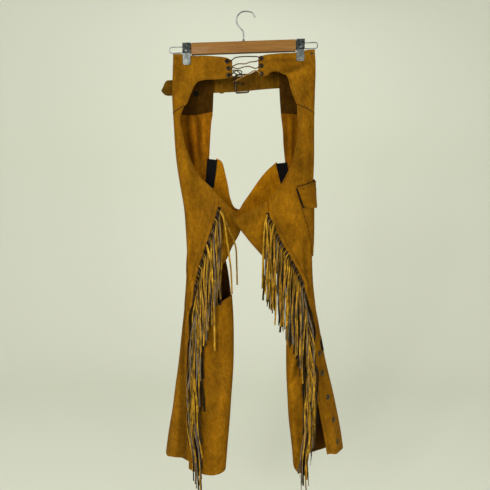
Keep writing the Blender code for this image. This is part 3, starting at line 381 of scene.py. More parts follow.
def pinch(x, z):
    """How far the hanger's clips close the hollow: 1 is open."""
    near_clip = 1 - smooth((np.abs(np.abs(x - HANGER_X) - CLIP_REACH) - 15.0) / 34.0)
    near_top = 1 - smooth((hanger_z(x) + CLIP_FOOT - 2 - z) / 60.0)
    return 1 - near_clip * near_top


def fold_sink(leg, turn, z):
    total = 0.0
    turn = (turn + 180) % 360 - 180
    for fold in leg["folds"]:
        across = np.clip((turn - fold["turn"]) / fold["spread"], -1, 1)
        along = np.clip((z - fold["z_foot"]) / (fold["z_top"] - fold["z_foot"]), 0, 1)
        total = total + fold["sink"] * np.cos(across * math.pi / 2) ** 2 * np.sin(along * math.pi) ** 0.7
    return total


def bare_point(leg, turn, z):
    """Middle of the uncreased wall at turns (degrees from the outer fold, back positive) and heights."""
    turn, z = np.broadcast_arrays(np.asarray(turn, dtype=float), np.asarray(z, dtype=float))
    row = sections(leg, z)
    angle = np.radians(turn)
    share = (1 + np.cos(angle)) / 2
    x = mix(row["inner_x"], row["outer_x"], share)
    y = mix(row["inner_y"], row["outer_y"], share)
    open_by = pinch(x, z)
    reach = row["depth"] - fold_sink(leg, turn, z)
    y = y - np.sin(angle) * (reach * open_by + (SUEDE / 2 + 0.45) * (1 - open_by))
    return np.stack((x, y, z), axis=-1)


def turn_at(leg, x, z, back=True):
    """The turn at which the wall has this x."""
    row = sections(leg, z)
    share = (x - row["inner_x"]) / (row["outer_x"] - row["inner_x"]) * 2 - 1
    turn = np.degrees(np.arccos(np.clip(share, -1.0, 1.0)))
    return turn if back else -turn


def to_turns(leg, points, back=True):
    return [(float(turn_at(leg, x, z, back)), z) for x, z in points]


def relief(leg, turn, z):
    """Height of the creases at turns and heights."""
    turn = (turn + 168) % 360 - 168
    total = np.zeros(np.shape(turn))
    for crease in leg["creases"]:
        back = crease["face"] == "back"
        ends = []
        for x_end, z_end in ((crease["x_a"], crease["z_a"]), (crease["x_b"], crease["z_b"])):
            ends.append((float(turn_at(leg, x_end, z_end, back)) * MM_PER_DEGREE, z_end))
        (a_u, a_v), (b_u, b_v) = ends
        du, dv = b_u - a_u, b_v - a_v
        along = ((turn * MM_PER_DEGREE - a_u) * du + (z - a_v) * dv) / (du * du + dv * dv)
        t = np.clip(along, 0, 1)
        sway = crease["width"] * 0.35 * np.sin(t * 5.0 + crease["z_a"])
        off = np.hypot(turn * MM_PER_DEGREE - a_u - du * t - sway, z - a_v - dv * t)
        bulge = np.exp(-(off / crease["width"]) ** 2)
        total = total + 1.25 * crease["height"] * bulge * (1 - 0.55 * (2 * t - 1) ** 2)
    ripple = 0.55 * np.sin(turn * 0.11 + z * 0.013) * np.sin(z * 0.031 + turn * 0.05)
    return total + ripple


def normals(leg, turn, z, shape):
    across = shape(leg, turn + 1.5, z) - shape(leg, turn - 1.5, z)
    down = shape(leg, turn, z - 3) - shape(leg, turn, z + 3)
    normal = np.cross(across, down) * leg["side"]
    return normal / np.maximum(np.linalg.norm(normal, axis=-1, keepdims=True), 1e-9)


def creased_point(leg, turn, z):
    """Middle of the wall with its creases, which fade where the clips press it flat."""
    place = bare_point(leg, turn, z)
    height = relief(leg, turn, z) * smooth((pinch(place[..., 0], z) - 0.05) * 1.4)
    return place + normals(leg, turn, z, bare_point) * height[..., None]


def outward(leg, turn, z, lift):
    """Points at a distance outside the middle of the wall, and the way out."""
    normal = normals(leg, turn, z, creased_point)
    return creased_point(leg, turn, z) + normal * np.asarray(lift)[..., None], normal


def patch(top, foot, start, end):
    """Fills four border curves of (turn, z): top and foot run from start to end."""
    top, foot, start, end = (np.asarray(shadow_line, dtype=float) for shadow_line in (top, foot, start, end))
    u = np.linspace(0, 1, len(top))[None, :, None]
    v = np.linspace(0, 1, len(start))[:, None, None]
    return (mix(top[None], foot[None], v) + mix(start[:, None], end[:, None], u)
            - mix(mix(top[0], top[-1], u), mix(foot[0], foot[-1], u), v))


def on_scale(points, count, scale=0.25):
    """Samples a (turn, z) curve with its heights weighted, so that degrees and heights compare."""
    weights = np.array((1.0, scale))
    return sampled(np.asarray(points, dtype=float) * weights, count) / weights


def between(a, b, count):
    return np.linspace(np.asarray(a, dtype=float), np.asarray(b, dtype=float), count)


def shifted(points, by):
    return np.asarray(points, dtype=float) + np.asarray(by, dtype=float)


def past_back(points):
    """Front turns counted on from the back ones, past the inner fold."""
    return [(t + 360, z) for t, z in points]


def yoke_seam(side, count):
    leg, cuts = LEGS[side], CUTS[side]
    points = to_turns(leg, [cuts["back_free_foot"][-1]]) + [(18, -233), (-14, -239)]
    return on_scale(points + to_turns(leg, cuts["front_seam_foot"], False), count)


def seam_turn(side, z):
    """Turns of the fringe seam at heights."""
    shadow_line = np.array(CUTS[side]["fringe"], dtype=float)[::-1]
    return turn_at(LEGS[side], np.interp(z, shadow_line[:, 1], shadow_line[:, 0]), z)


def shin_edge(side, z):
    """Turn of the outer hide's edge beside the fringe: on the right shin it hangs open."""
    turn = seam_turn(side, z) - SEAM_TURN[side]
    if side == "left" or z > SHIN_EDGE[0][0]:
        return float(turn)
    edge = np.array(SHIN_EDGE, dtype=float)[::-1]
    return float(min(turn, np.interp(z, edge[:, 0], edge[:, 1])))


def inset(leg, shadow_line, distance):
    """A (turn, z) line moved along the wall by a distance, to its left as it runs."""
    shadow_line = np.asarray(shadow_line, dtype=float)
    ahead, behind = (bare_point(leg, shadow_line[:, 0] + step, shadow_line[:, 1]) for step in (1, -1))
    speed = np.linalg.norm(ahead - behind, axis=-1) / 2
    run = np.gradient(shadow_line, axis=0) * np.stack((speed, np.ones(len(shadow_line))), axis=1)
    run /= np.maximum(np.linalg.norm(run, axis=1, keepdims=True), 1e-9)
    return shadow_line + np.stack((-run[:, 1] * distance / speed, run[:, 0] * distance), axis=1)


def band(side, shadow_line, first, last, count):
    """Grid of (turn, z) between two distances from a line along the wall."""
    return np.stack([inset(LEGS[side], shadow_line, offset) for offset in np.linspace(first, last, count)], axis=1)


# The hem curves up towards the folds: (turn, rise) for the outer hide and for the inner piece.
HEM_RISE = {
    ("left", "outer"): ((-168, 8), (-60, 12), (0, 17), (25, 14), (45, 24), (90, 32)),
    ("left", "calf"): ((60, 18), (95, 5), (130, 4), (180, 12), (192, 10)),
    ("right", "outer"): ((-168, 8), (-60, 10), (0, 18), (25, 24), (50, 27), (68, 36)),
    ("right", "calf"): ((60, 8), (150, 9), (180, 20), (192, 16)),
}


def hemmed(side, piece, shadow_line):
    """Lifts the last stretch of a (turn, z) line to the curved hem."""
    shadow_line = np.array(shadow_line, dtype=float)
    table = np.array(HEM_RISE[side, piece], dtype=float)
    share = np.clip((-1020 - shadow_line[:, 1]) / (-1020 - HEM_Z), 0, 1) ** 1.5
    shadow_line[:, 1] += np.interp(shadow_line[:, 0], table[:, 0], table[:, 1]) * share
    return shadow_line


# Materials

# The colours are dark, light and worn. A suede goes on with the scale of its mottling, its relief,
# the painted shade that darkens the inside of a leg lower down (from z, to z, share) and how strongly
# it paints shade into the troughs of its creases and highlight onto their ridges; a metal with its
# roughness and the scale of its wear.
SUEDES = {
    "suede": ("suede_outside", (0.138, 0.054, 0.0012), (0.214, 0.089, 0.0022), (0.185, 0.079, 0.005)),
    "inside": ("suede_inside", (0.108, 0.034, 0.0006), (0.228, 0.085, 0.0011), (0.155, 0.053, 0.002),
               18.0, 0.2, (-0.50, -0.66, 0.36), 0.45),
    # A lighter copy of the inside suede: painted light on the inner faces of the inner thigh pieces.
    "thigh_inside": ("thigh_inside", (0.19, 0.067, 0.0008), (0.37, 0.150, 0.0022), (0.27, 0.105, 0.002),
                     18.0, 0.2, (-0.52, -0.64, 0.2), 0.45),
    "yoke_inside": ("yoke_inside", (0.022, 0.008, 0.0004), (0.060, 0.024, 0.0012), (0.035, 0.014, 0.001),
                    26.0, 0.2),
    "belt": ("belt_suede", (0.050, 0.021, 0.0009), (0.15, 0.066, 0.0026), (0.09, 0.040, 0.003), 24.0, 0.25),
    "shadow": ("seam_shadow", (0.010, 0.006, 0.003), (0.028, 0.018, 0.008), (0.02, 0.012, 0.006), 60.0, 0.2),
    "lace": ("lace_leather", (0.045, 0.022, 0.007), (0.17, 0.085, 0.025), (0.09, 0.05, 0.02), 120.0, 0.2),
    "lace_dark": ("lace_dark", (0.010, 0.006, 0.003), (0.045, 0.024, 0.010), (0.03, 0.016, 0.008), 120.0, 0.2),
    "lace_tan": ("lace_tan", (0.16, 0.08, 0.02), (0.30, 0.16, 0.05), (0.22, 0.12, 0.04), 120.0, 0.2),
}
METALS = {
    "dark_metal": ("antique_metal", (0.030, 0.027, 0.012), (0.090, 0.080, 0.042), 0.5),
    "buckle": ("antique_buckle", (0.02, 0.014, 0.008), (0.11, 0.08, 0.045), 0.4),
    "steel": ("clip_steel", (0.09, 0.098, 0.09), (0.20, 0.215, 0.195), 0.42, 90.0),
    "wire": ("wire_steel", (0.14, 0.14, 0.14), (0.34, 0.34, 0.33), 0.3, 90.0),
    "grip": ("dark_grip", (0.014, 0.016, 0.015), (0.065, 0.072, 0.066), 0.4, 180.0),
}
THREADS = {
    "thread": ("yellow_thread", (0.10, 0.048, 0.004), (0.27, 0.145, 0.014)),
    # Brown thread, close and thick: stitching that also stands in for the painted shade along the seams.
    "dark_thread_and_seam_shade": ("brown_thread", (0.035, 0.016, 0.003), (0.085, 0.038, 0.006)),
    # Near-black: the painted shade inside holes and eyelets; the back of the inside snap is drawn in it too.
    "hole": ("hole_dark", (0.004, 0.003, 0.002), (0.008, 0.006, 0.004)),
}


def put(tree, socket, value):
    """Links a value's socket to an input, or sets the input; colours are given without alpha."""
    if isinstance(value, bpy.types.NodeSocket):
        tree.links.new(value, socket)
    else:
        socket.default_value = (*value, 1.0) if socket.type == "RGBA" else value


def add(tree, kind, inputs=None, **settings):
    """The outputs of a new node with its settings and its inputs put in."""
    node = tree.nodes.new(kind)
    for label, value in settings.items():
        setattr(node, label, value)
    for label, value in (inputs or {}).items():
        put(tree, node.inputs[label], value)
    return node.outputs


def object_place(tree):
    return add(tree, "ShaderNodeTexCoord")["Object"]


def ramp(tree, value, *stops):
    """A value through soft steps of grey, each (place, brightness)."""
    node = tree.nodes.new("ShaderNodeValToRGB")
    put(tree, node.inputs["Fac"], value)
    node.color_ramp.interpolation = "EASE"
    while len(node.color_ramp.elements) < len(stops):
        node.color_ramp.elements.new(0.5)
    for element, (place, grey) in zip(node.color_ramp.elements, stops):
        element.position = place
        element.color = (grey, grey, grey, 1.0)
    return node.outputs["Color"]


def noise(tree, vector, scale, detail, roughness=0.55, distortion=0.0):
    return add(tree, "ShaderNodeTexNoise", {"Vector": vector, "Scale": scale, "Detail": detail,
                                            "Roughness": roughness, "Distortion": distortion})["Fac"]


def stretched(tree, vector, scale):
    return add(tree, "ShaderNodeMapping", {"Vector": vector, "Scale": scale})["Vector"]


def blend_colour(tree, factor, a, b, blend="MIX"):
    """Mixes two colours, each given as a socket or as plain values."""
    node = tree.nodes.new("ShaderNodeMix")
    node.data_type = "RGBA"
    node.blend_type = blend
    put(tree, node.inputs["Factor"], factor)
    for socket, value in zip([s for s in node.inputs if s.type == "RGBA"], (a, b)):
        put(tree, socket, value)
    return next(s for s in node.outputs if s.type == "RGBA")


def multiplied(tree, a, b):
    return blend_colour(tree, 1.0, a, b, "MULTIPLY")


def math_node(tree, operation, a, b):
    return add(tree, "ShaderNodeMath", {0: a, 1: b}, operation=operation)["Value"]


def map_range(tree, value, from_min, from_max, to_min, to_max):
    return add(tree, "ShaderNodeMapRange", {"Value": value, "From Min": from_min, "From Max": from_max,
                                            "To Min": to_min, "To Max": to_max})["Result"]


def bump(tree, height, distance, strength=1.0):
    return add(tree, "ShaderNodeBump", {"Height": height, "Distance": distance, "Strength": strength})["Normal"]


def nap_group():
    """Shader group for brushed nap: a mottled mix of two colours and the fine height of the fibres."""
    tree = bpy.data.node_groups.new("Suede nap", "ShaderNodeTree")
    for label, kind, value in (("Dark", "Color", None), ("Light", "Color", None), ("Worn", "Color", None),
                               ("Mottle scale", "Float", 26.0), ("Relief", "Float", 0.35)):
        socket = tree.interface.new_socket(label, in_out="INPUT", socket_type=f"NodeSocket{kind}")
        if value is not None:
            socket.default_value = value
    for label, kind in (("Color", "Color"), ("Normal", "Vector")):
        tree.interface.new_socket(label, in_out="OUTPUT", socket_type=f"NodeSocket{kind}")
    given, end = tree.nodes.new("NodeGroupInput").outputs, tree.nodes.new("NodeGroupOutput").inputs
    place = object_place(tree)
    brushed = stretched(tree, place, (1.0, 1.0, 0.75))
    mottle = ramp(tree, noise(tree, brushed, given["Mottle scale"], 6.0, 0.62, 0.6), (0.25, 0.0), (0.75, 1.0))
    base = blend_colour(tree, mottle, given["Dark"], given["Light"])
    broad = ramp(tree, noise(tree, stretched(tree, place, (1.0, 1.0, 0.5)), 7.0, 3.0), (0.45, 0.0), (0.75, 1.0))
    worn = blend_colour(tree, math_node(tree, "MULTIPLY", broad, 0.4), base, given["Worn"])
    streaks = noise(tree, stretched(tree, place, (1.0, 1.0, 0.65)), 150.0, 5.0, 0.75)
    shaded = multiplied(tree, worn, ramp(tree, streaks, (0.28, 0.70), (0.72, 1.24)))
    fibre = noise(tree, place, 1500.0, 3.0, 0.75)
    put(tree, end["Color"], multiplied(tree, shaded, ramp(tree, fibre, (0.3, 0.8), (0.7, 1.14))))
    tufts = math_node(tree, "MULTIPLY", noise(tree, brushed, 90.0, 4.0, 0.6), 1.6)
    put(tree, end["Normal"], bump(tree, math_node(tree, "ADD", fibre, tufts), 0.0012, given["Relief"]))
    return tree


def surface_material(name, roughness, metallic=0.0, sheen=0.0, specular=0.5):
    """A new material, its node tree and the inputs of its shader."""
    mat = bpy.data.materials.new(name)
    mat.use_nodes = True
    look = mat.node_tree.nodes["Principled BSDF"].inputs
    for label, value in (("Roughness", roughness), ("Metallic", metallic), ("Sheen Weight", sheen),
                         ("Sheen Roughness", 0.5), ("Specular IOR Level", specular)):
        look[label].default_value = value
    return mat, mat.node_tree, look


def napped(tree, group, dark, light, worn, mottle, relief_by):
    """The outputs of the nap group in a material."""
    return add(tree, "ShaderNodeGroup", {"Dark": dark, "Light": light, "Worn": worn, "Mottle scale": mottle,
                                         "Relief": relief_by}, node_tree=group)


def suede(group, name, dark, light, worn, mottle=26.0, relief_by=0.35, shade=None, painted_crease_shading=0.36):
    """Brushed suede; shade is (from z, to z, share), painted shade that darkens the inside of a leg
    from the first height down to the second, to the share.
    """
    mat, tree, look = surface_material(name, 0.95, sheen=0.04, specular=0.04)
    put(tree, look["Sheen Tint"], light)
    nap = napped(tree, group, dark, light, worn, mottle, relief_by)
    # Painted shade in the troughs of the creases and painted highlight on their ridges.
    crease = add(tree, "ShaderNodeAttribute", attribute_name="crease")["Fac"]
    colour = multiplied(tree, nap["Color"],
                        map_range(tree, crease, -FULL_CREASE, FULL_CREASE, 1 - painted_crease_shading, 1 + painted_crease_shading))
    # Painted shade inside the leg: the colour darkens downwards between the two heights.
    if shade:
        height = add(tree, "ShaderNodeSeparateXYZ", {"Vector": object_place(tree)})["Z"]
        colour = multiplied(tree, colour, map_range(tree, height, shade[1], shade[0], shade[2], 1.0))
    put(tree, look["Base Color"], colour)
    put(tree, look["Normal"], nap["Normal"])
    return mat


def strand_suede(group, name):
    """Cut strands: golden on the napped side, greyer on the back and the cut edges, with painted light and shade
    along their length where they twist.
    """
    mat, tree, look = surface_material(name, 0.92, sheen=0.04, specular=0.06)
    nap = napped(tree, group, (0.25, 0.115, 0.005), (0.50, 0.27, 0.016), (0.33, 0.20, 0.05), 60.0, 0.3)
    side = add(tree, "ShaderNodeAttribute", attribute_name="napped")["Fac"]
    # The tone attribute carries painted shade: the deeper layers of strands are darker.
    tone = add(tree, "ShaderNodeAttribute", attribute_name="tone")["Color"]
    toned_and_layer_shaded = multiplied(tree, blend_colour(tree, side, (0.125, 0.096, 0.066), nap["Color"]), tone)
    # Painted light and shade along each strand, where it would twist towards and away from the light.
    along = noise(tree, stretched(tree, object_place(tree), (1.0, 1.0, 0.28)), 150.0, 3.0)
    painted_twist_light = ramp(tree, along, (0.36, 0.42), (0.52, 0.9), (0.66, 1.2))
    put(tree, look["Base Color"], multiplied(tree, toned_and_layer_shaded, painted_twist_light))
    put(tree, look["Normal"], nap["Normal"])
    return mat


def knit(name):
    """Black stretch knit with fine upright ribs."""
    mat, tree, look = surface_material(name, 0.9, specular=0.06)
    ribs = add(tree, "ShaderNodeTexWave", {"Vector": object_place(tree), "Scale": 220.0, "Distortion": 0.4},
               bands_direction="X")["Fac"]
    put(tree, look["Base Color"], blend_colour(tree, ribs, (0.002, 0.002, 0.002), (0.010, 0.009, 0.008)))
    put(tree, look["Normal"], bump(tree, ribs, 0.0006))
    return mat


def varnished_wood(name):
    """Light brown wood with its grain along the bar, under a thin varnish, painted dark on its underside as shade."""
    mat, tree, look = surface_material(name, 0.55, specular=0.14)
    put(tree, look["Coat Weight"], 0.04)
    place = object_place(tree)
    grain = ramp(tree, noise(tree, stretched(tree, place, (3.0, 40.0, 55.0)), 4.0, 8.0, 0.65, 1.2),
                 (0.25, 0.0), (0.75, 1.0))
    base = blend_colour(tree, grain, (0.150, 0.064, 0.011), (0.245, 0.112, 0.021))
    fine = noise(tree, stretched(tree, place, (12.0, 200.0, 420.0)), 6.0, 4.0)
    wood = multiplied(tree, base, ramp(tree, fine, (0.3, 0.86), (0.7, 1.08)))
    # Faces turned down are painted near-black: painted shade under the bar.
    normal = add(tree, "ShaderNodeNewGeometry")["Normal"]
    facing_up = add(tree, "ShaderNodeSeparateXYZ", {"Vector": normal})["Z"]
    underside_painted_shade = ramp(tree, math_node(tree, "ADD", facing_up, 1.0), (0.0, 0.0), (0.5, 1.0))
    put(tree, look["Base Color"], blend_colour(tree, underside_painted_shade, (0.018, 0.008, 0.003), wood))
    return mat


def worn_metal(name, dark, light, roughness, scale=260.0):
    """Metal whose tone and polish change over its surface."""
    mat, tree, look = surface_material(name, roughness, metallic=1.0)
    wear = noise(tree, object_place(tree), scale, 5.0, 0.6)
    put(tree, look["Base Color"], blend_colour(tree, ramp(tree, wear, (0.38, 0.0), (0.66, 1.0)), dark, light))
    put(tree, look["Roughness"], map_range(tree, wear, 0.0, 1.0, roughness * 0.8, min(1.0, roughness * 1.5)))
    return mat


def thread(name, dark, light):
    mat, tree, look = surface_material(name, 0.75, specular=0.08)
    put(tree, look["Base Color"], blend_colour(tree, noise(tree, object_place(tree), 400.0, 2.0), dark, light))
    return mat


def make_materials():
    nap = nap_group()
    mats = {key: suede(nap, *look) for key, look in SUEDES.items()}
    mats.update({key: worn_metal(*look) for key, look in METALS.items()})
    mats.update({key: thread(*look) for key, look in THREADS.items()})
    mats.update({"strand": strand_suede(nap, "fringe_strands"), "knit": knit("stretch_knit"),
                 "wood": varnished_wood("hanger_wood")})
    return mats


# Meshes

def placed(name, data):
    """A new object in the scene."""
    obj = bpy.data.objects.new(name, data)
    bpy.context.scene.collection.objects.link(obj)
    return obj


def new_object(name, points, faces, mats, indices=None, smooth_shade=True):
    mesh = bpy.data.meshes.new(name)
    mesh.from_pydata((np.asarray(points, dtype=float) * MM).tolist(), [], faces)
    for mat in mats:
        mesh.materials.append(mat)
    if indices is not None:
        mesh.polygons.foreach_set("material_index", indices)
    mesh.update()
    if smooth_shade:
        mesh.shade_smooth()
        mesh.set_sharp_from_angle(angle=SHARP_FROM)
    return placed(name, mesh)


def shell(name, outer, inner, mats):
    """Closed thin wall between two grids of points: the first material outside, the second inside."""
    rows, cols = outer.shape[:2]
    size = rows * cols
    index = np.arange(size).reshape(rows, cols)
    a, b, c, d = index[:-1, :-1], index[:-1, 1:], index[1:, 1:], index[1:, :-1]
    out_faces = np.stack((a, b, c, d), axis=-1).reshape(-1, 4)
    in_faces = out_faces[:, ::-1] + size
    rim = np.concatenate((index[0, :], index[1:, -1], index[-1, -2::-1], index[-2:0:-1, 0]))
    nxt = np.roll(rim, -1)
    rim_faces = np.stack((nxt, rim, rim + size, nxt + size), axis=1)
    flat = outer.reshape(-1, 3)
    middle = out_faces[len(out_faces) // 2]
    normal = np.cross(flat[middle[1]] - flat[middle[0]], flat[middle[3]] - flat[middle[0]])
    way_out = (outer - inner).reshape(-1, 3)[middle[0]]
    faces = np.concatenate((out_faces, in_faces, rim_faces))
    if normal @ way_out < 0:
        faces = faces[:, ::-1]
    indices = [0] * len(out_faces) + [1] * len(in_faces) + [0] * len(rim_faces)
    return new_object(name, np.concatenate((flat, inner.reshape(-1, 3))), faces.tolist(), mats, indices)


def leg_shell(name, side, grid, thickness, mats, lift=0.0):
    """Shell through a grid of (turn, z), at a lift outside the middle of the leg's wall."""
    leg = LEGS[side]
    turn, z = grid[..., 0], grid[..., 1]
    lift = np.broadcast_to(np.asarray(lift, dtype=float), turn.shape)
    outer, normal = outward(leg, turn, z, lift + thickness / 2)
    obj = shell(name, outer, outer - normal * thickness, mats)
    # The relief is kept as the 'crease' attribute; the suede paints shade into its troughs and highlight onto its
    # ridges.
    height = relief(leg, turn, z).reshape(-1)
    crease = obj.data.attributes.new("crease", "FLOAT", "POINT")
    crease.data.foreach_set("value", np.concatenate((height, -height)))
    return obj


def tube(name, points, diameter, mat, count=60, sides=4):
    """Round wire or lace along a smooth route, as a mesh."""
    route = sampled(points, count)
    curve = bpy.data.curves.new(name, "CURVE")
    curve.dimensions = "3D"
    curve.bevel_depth = diameter / 2 * MM
    curve.bevel_resolution = sides
    curve.use_fill_caps = True
    shadow_line = curve.splines.new("POLY")
    shadow_line.points.add(len(route) - 1)
    for point, place in zip(shadow_line.points, route):
        point.co = (*(Vector(place) * MM), 1.0)
    curve.materials.append(mat)
    return as_mesh(placed(name, curve))


def as_mesh(obj):
    """The object with its modifiers or curve made into a plain mesh."""
    name = obj.name
    mesh = bpy.data.meshes.new_from_object(obj.evaluated_get(bpy.context.evaluated_depsgraph_get()))
    bpy.data.objects.remove(obj)
    mesh.name = name
    return placed(name, mesh)


def joined(name, objects):
    """Several meshes as one piece, each keeping its materials."""
    bm = bmesh.new()
    mats = []
    for obj in objects:
        start = len(bm.faces)
        bm.from_mesh(obj.data)
        bm.faces.ensure_lookup_table()
        lookup = []
        for mat in obj.data.materials:
            if mat not in mats:
                mats.append(mat)
            lookup.append(mats.index(mat))
        for face in bm.faces[start:]:
            face.material_index = lookup[face.material_index] if lookup else 0
    mesh = bpy.data.meshes.new(name)
    bm.to_mesh(mesh)
    bm.free()
    for mat in mats:
        mesh.materials.append(mat)
    for obj in objects:
        bpy.data.objects.remove(obj)
    return placed(name, mesh)


def soften(obj, width, segments=2):
    bevel = obj.modifiers.new("soft edges", "BEVEL")
    bevel.width = width * MM
    bevel.segments = segments
    bevel.limit_method = "ANGLE"
    bevel.harden_normals = False
    return as_mesh(obj)


# Geometry Nodes

def geometry_tree(name, inputs):
    """An empty tree, what it is given, its end's inputs, and the identifiers of its named inputs."""
    tree = bpy.data.node_groups.new(name, "GeometryNodeTree")
    tree.interface.new_socket("Geometry", in_out="INPUT", socket_type="NodeSocketGeometry")
    sockets = {}
    for label, kind in inputs.items():
        socket = tree.interface.new_socket(label, in_out="INPUT", socket_type=f"NodeSocket{kind}")
        sockets[label] = socket.identifier
    tree.interface.new_socket("Geometry", in_out="OUTPUT", socket_type="NodeSocketGeometry")
    return tree, tree.nodes.new("NodeGroupInput").outputs, tree.nodes.new("NodeGroupOutput").inputs, sockets


def named(tree, label, kind):
    return add(tree, "GeometryNodeInputNamedAttribute", {"Name": label}, data_type=kind)["Attribute"]


def copies(tree, points, piece, way):
    """A piece at every point, its Z along the way."""
    turn = add(tree, "FunctionNodeAlignRotationToVector", {"Vector": way}, axis="Z")["Rotation"]
    return add(tree, "GeometryNodeInstanceOnPoints",
               {"Points": points, "Instance": piece, "Rotation": turn})["Instances"]


def ended(tree, end, geometry, material, rounded=False):
    """Ends a tree with real geometry, shaded smooth if asked, in its material."""
    real = add(tree, "GeometryNodeRealizeInstances", {"Geometry": geometry})["Geometry"]
    if rounded:
        real = add(tree, "GeometryNodeSetShadeSmooth", {0: real})[0]
    put(tree, end["Geometry"],
        add(tree, "GeometryNodeSetMaterial", {"Geometry": real, "Material": material})["Geometry"])


def stitch_tree():
    """Stitches at even steps along every line of a mesh."""
    tree, given, end, sockets = geometry_tree(
        "Stitch row", {"Step": "Float", "Size": "Vector", "Material": "Material"})
    shadow_line = add(tree, "GeometryNodeMeshToCurve", {"Mesh": given["Geometry"]})["Curve"]
    spaced = add(tree, "GeometryNodeResampleCurve", {"Curve": shadow_line, "Length": given["Step"]}, mode="LENGTH")
    bead = add(tree, "GeometryNodeMeshIcoSphere", {"Radius": 1.0, "Subdivisions": 1})["Mesh"]
    sized = add(tree, "GeometryNodeTransform", {"Geometry": bead, "Scale": given["Size"]})["Geometry"]
    tangent = add(tree, "GeometryNodeInputTangent")["Tangent"]
    ended(tree, end, copies(tree, spaced["Curve"], sized, tangent), given["Material"], rounded=True)
    return tree, sockets


def strand_tree():
    """A flat strand along every line of a mesh, turned by its facing and as wide as its half_width."""
    tree, given, end, sockets = geometry_tree("Fringe strands", {"Flatness": "Float", "Material": "Material"})
    shadow_line = add(tree, "GeometryNodeMeshToCurve", {"Mesh": given["Geometry"]})["Curve"]
    turned = add(tree, "GeometryNodeSetCurveNormal",
                 {"Curve": shadow_line, "Normal": named(tree, "facing", "FLOAT_VECTOR")}, mode="FREE")["Curve"]
    profile = add(tree, "GeometryNodeCurvePrimitiveQuadrilateral",
                  {"Width": given["Flatness"], "Height": 2.0})["Curve"]
    place = add(tree, "GeometryNodeInputPosition")["Position"]
    across = add(tree, "ShaderNodeSeparateXYZ", {"Vector": place})["X"]
    is_front = add(tree, "FunctionNodeCompare", {"A": across}, data_type="FLOAT", operation="GREATER_THAN")
    stored = add(tree, "GeometryNodeStoreNamedAttribute",
                 {"Geometry": profile, "Name": "napped", "Value": is_front["Result"]},
                 data_type="FLOAT", domain="POINT")["Geometry"]
    sweep = add(tree, "GeometryNodeCurveToMesh",
                {"Curve": turned, "Profile Curve": stored, "Scale": named(tree, "half_width", "FLOAT"),
                 "Fill Caps": True})["Mesh"]
    ended(tree, end, sweep, given["Material"])
    return tree, sockets


def stud_tree():
    """A copy of one small piece at every point, standing along its normal."""
    tree, given, end, sockets = geometry_tree("Studs", {"Stud": "Object", "Material": "Material"})
    source = add(tree, "GeometryNodeObjectInfo", {"Object": given["Stud"]})["Geometry"]
    studs = copies(tree, given["Geometry"], source, named(tree, "facing", "FLOAT_VECTOR"))
    ended(tree, end, studs, given["Material"])
    return tree, sockets


def grown(obj, tree_and_sockets, values):
    """Runs a tree on an object with its named inputs set, and keeps the result as a plain mesh."""
    tree, sockets = tree_and_sockets
    modifier = obj.modifiers.new(tree.name, "NODES")
    for label, value in values.items():
        modifier[sockets[label]] = value
    modifier.node_group = tree
    for label, value in values.items():
        modifier[sockets[label]] = value
    obj.update_tag()
    return as_mesh(obj)


def lines_object(name, lines, attributes=()):
    """Mesh of open lines, one for each array of points, with named values at the points."""
    points, edges = [], []
    for shadow_line in lines:
        start = len(points)
        points.extend(shadow_line)
        edges.extend((start + k, start + k + 1) for k in range(len(shadow_line) - 1))
    mesh = bpy.data.meshes.new(name)
    mesh.from_pydata((np.asarray(points, dtype=float) * MM).tolist(), edges, [])
    for label, kind, values in attributes:
        field = mesh.attributes.new(label, kind, "POINT")
        field.data.foreach_set("vector" if kind == "FLOAT_VECTOR" else "value", np.concatenate(values).ravel())
    return placed(name, mesh)


def turned_piece(name, profile, sides=24):
    """Round piece from a (radius, height) profile, closed on the axis."""
    verts = [(0.0, 0.0, profile[0][1])]
    for radius, height in profile:
        for k in range(sides):
            angle = 2 * math.pi * k / sides
            verts.append((radius * math.cos(angle), radius * math.sin(angle), height))
    verts.append((0.0, 0.0, profile[-1][1]))
    faces = []
    for k in range(sides):
        nxt = (k + 1) % sides
        faces.append((0, 1 + nxt, 1 + k))
        for r in range(len(profile) - 1):
            a, b = 1 + r * sides, 1 + (r + 1) * sides
            faces.append((a + k, a + nxt, b + nxt, b + k))
        last = 1 + (len(profile) - 1) * sides
        faces.append((last + k, last + nxt, len(verts) - 1))
    return new_object(name, verts, faces, [])


def turned_ring(name, profile, sides=24):
    """Round ring from a closed (radius, height) profile."""
    n = len(profile)
    verts, faces = [], []
    for k in range(sides):
        angle = 2 * math.pi * k / sides
        verts.extend((r * math.cos(angle), r * math.sin(angle), h) for r, h in profile)
        nxt = (k + 1) % sides
        faces.extend((k * n + c, nxt * n + c, nxt * n + (c + 1) % n, k * n + (c + 1) % n) for c in range(n))
    return new_object(name, verts, faces, [])


# Pieces

ROWS_FINER, COLS_FINER = 7, 6


def attach(obj, nodes=()):
    """Puts a finished piece on the body and hides the solids that it stands for."""
    if nodes:
        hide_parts(*nodes)
    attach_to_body(obj, BODY)
    return obj


def cloth(obj, nodes, outer):
    """Attaches a hung piece and hides the solids that it stands for; its outer points are not used."""
    attach(obj, nodes)
    return obj


def yoke_lines(side):
    """Borders of a yoke: top, foot, laced edge and front edge, and the free part of its foot."""
    leg, cuts = LEGS[side], CUTS[side]
    k = 3
    free = on_scale(to_turns(leg, cuts["back_free_foot"]), 12 * k + 1)
    seam = shifted(yoke_seam(side, 13 * k + 1), (0, SEAM / 2))
    back_top = to_turns(leg, cuts["back_top"])
    rest = [back_top[-1], (-8, back_top[-1][1])] + to_turns(leg, cuts["front_top"], False)
    top = np.concatenate((on_scale(back_top, 14 * k + 1), on_scale(rest, 11 * k + 1)[1:]))
    foot = np.concatenate((free[:-1], seam))
    rows = 37
    return {"top": top, "foot": foot, "laced": between(top[0], foot[0], rows),
            "front": between(top[-1], foot[-1], rows), "free": free, "seam": seam}


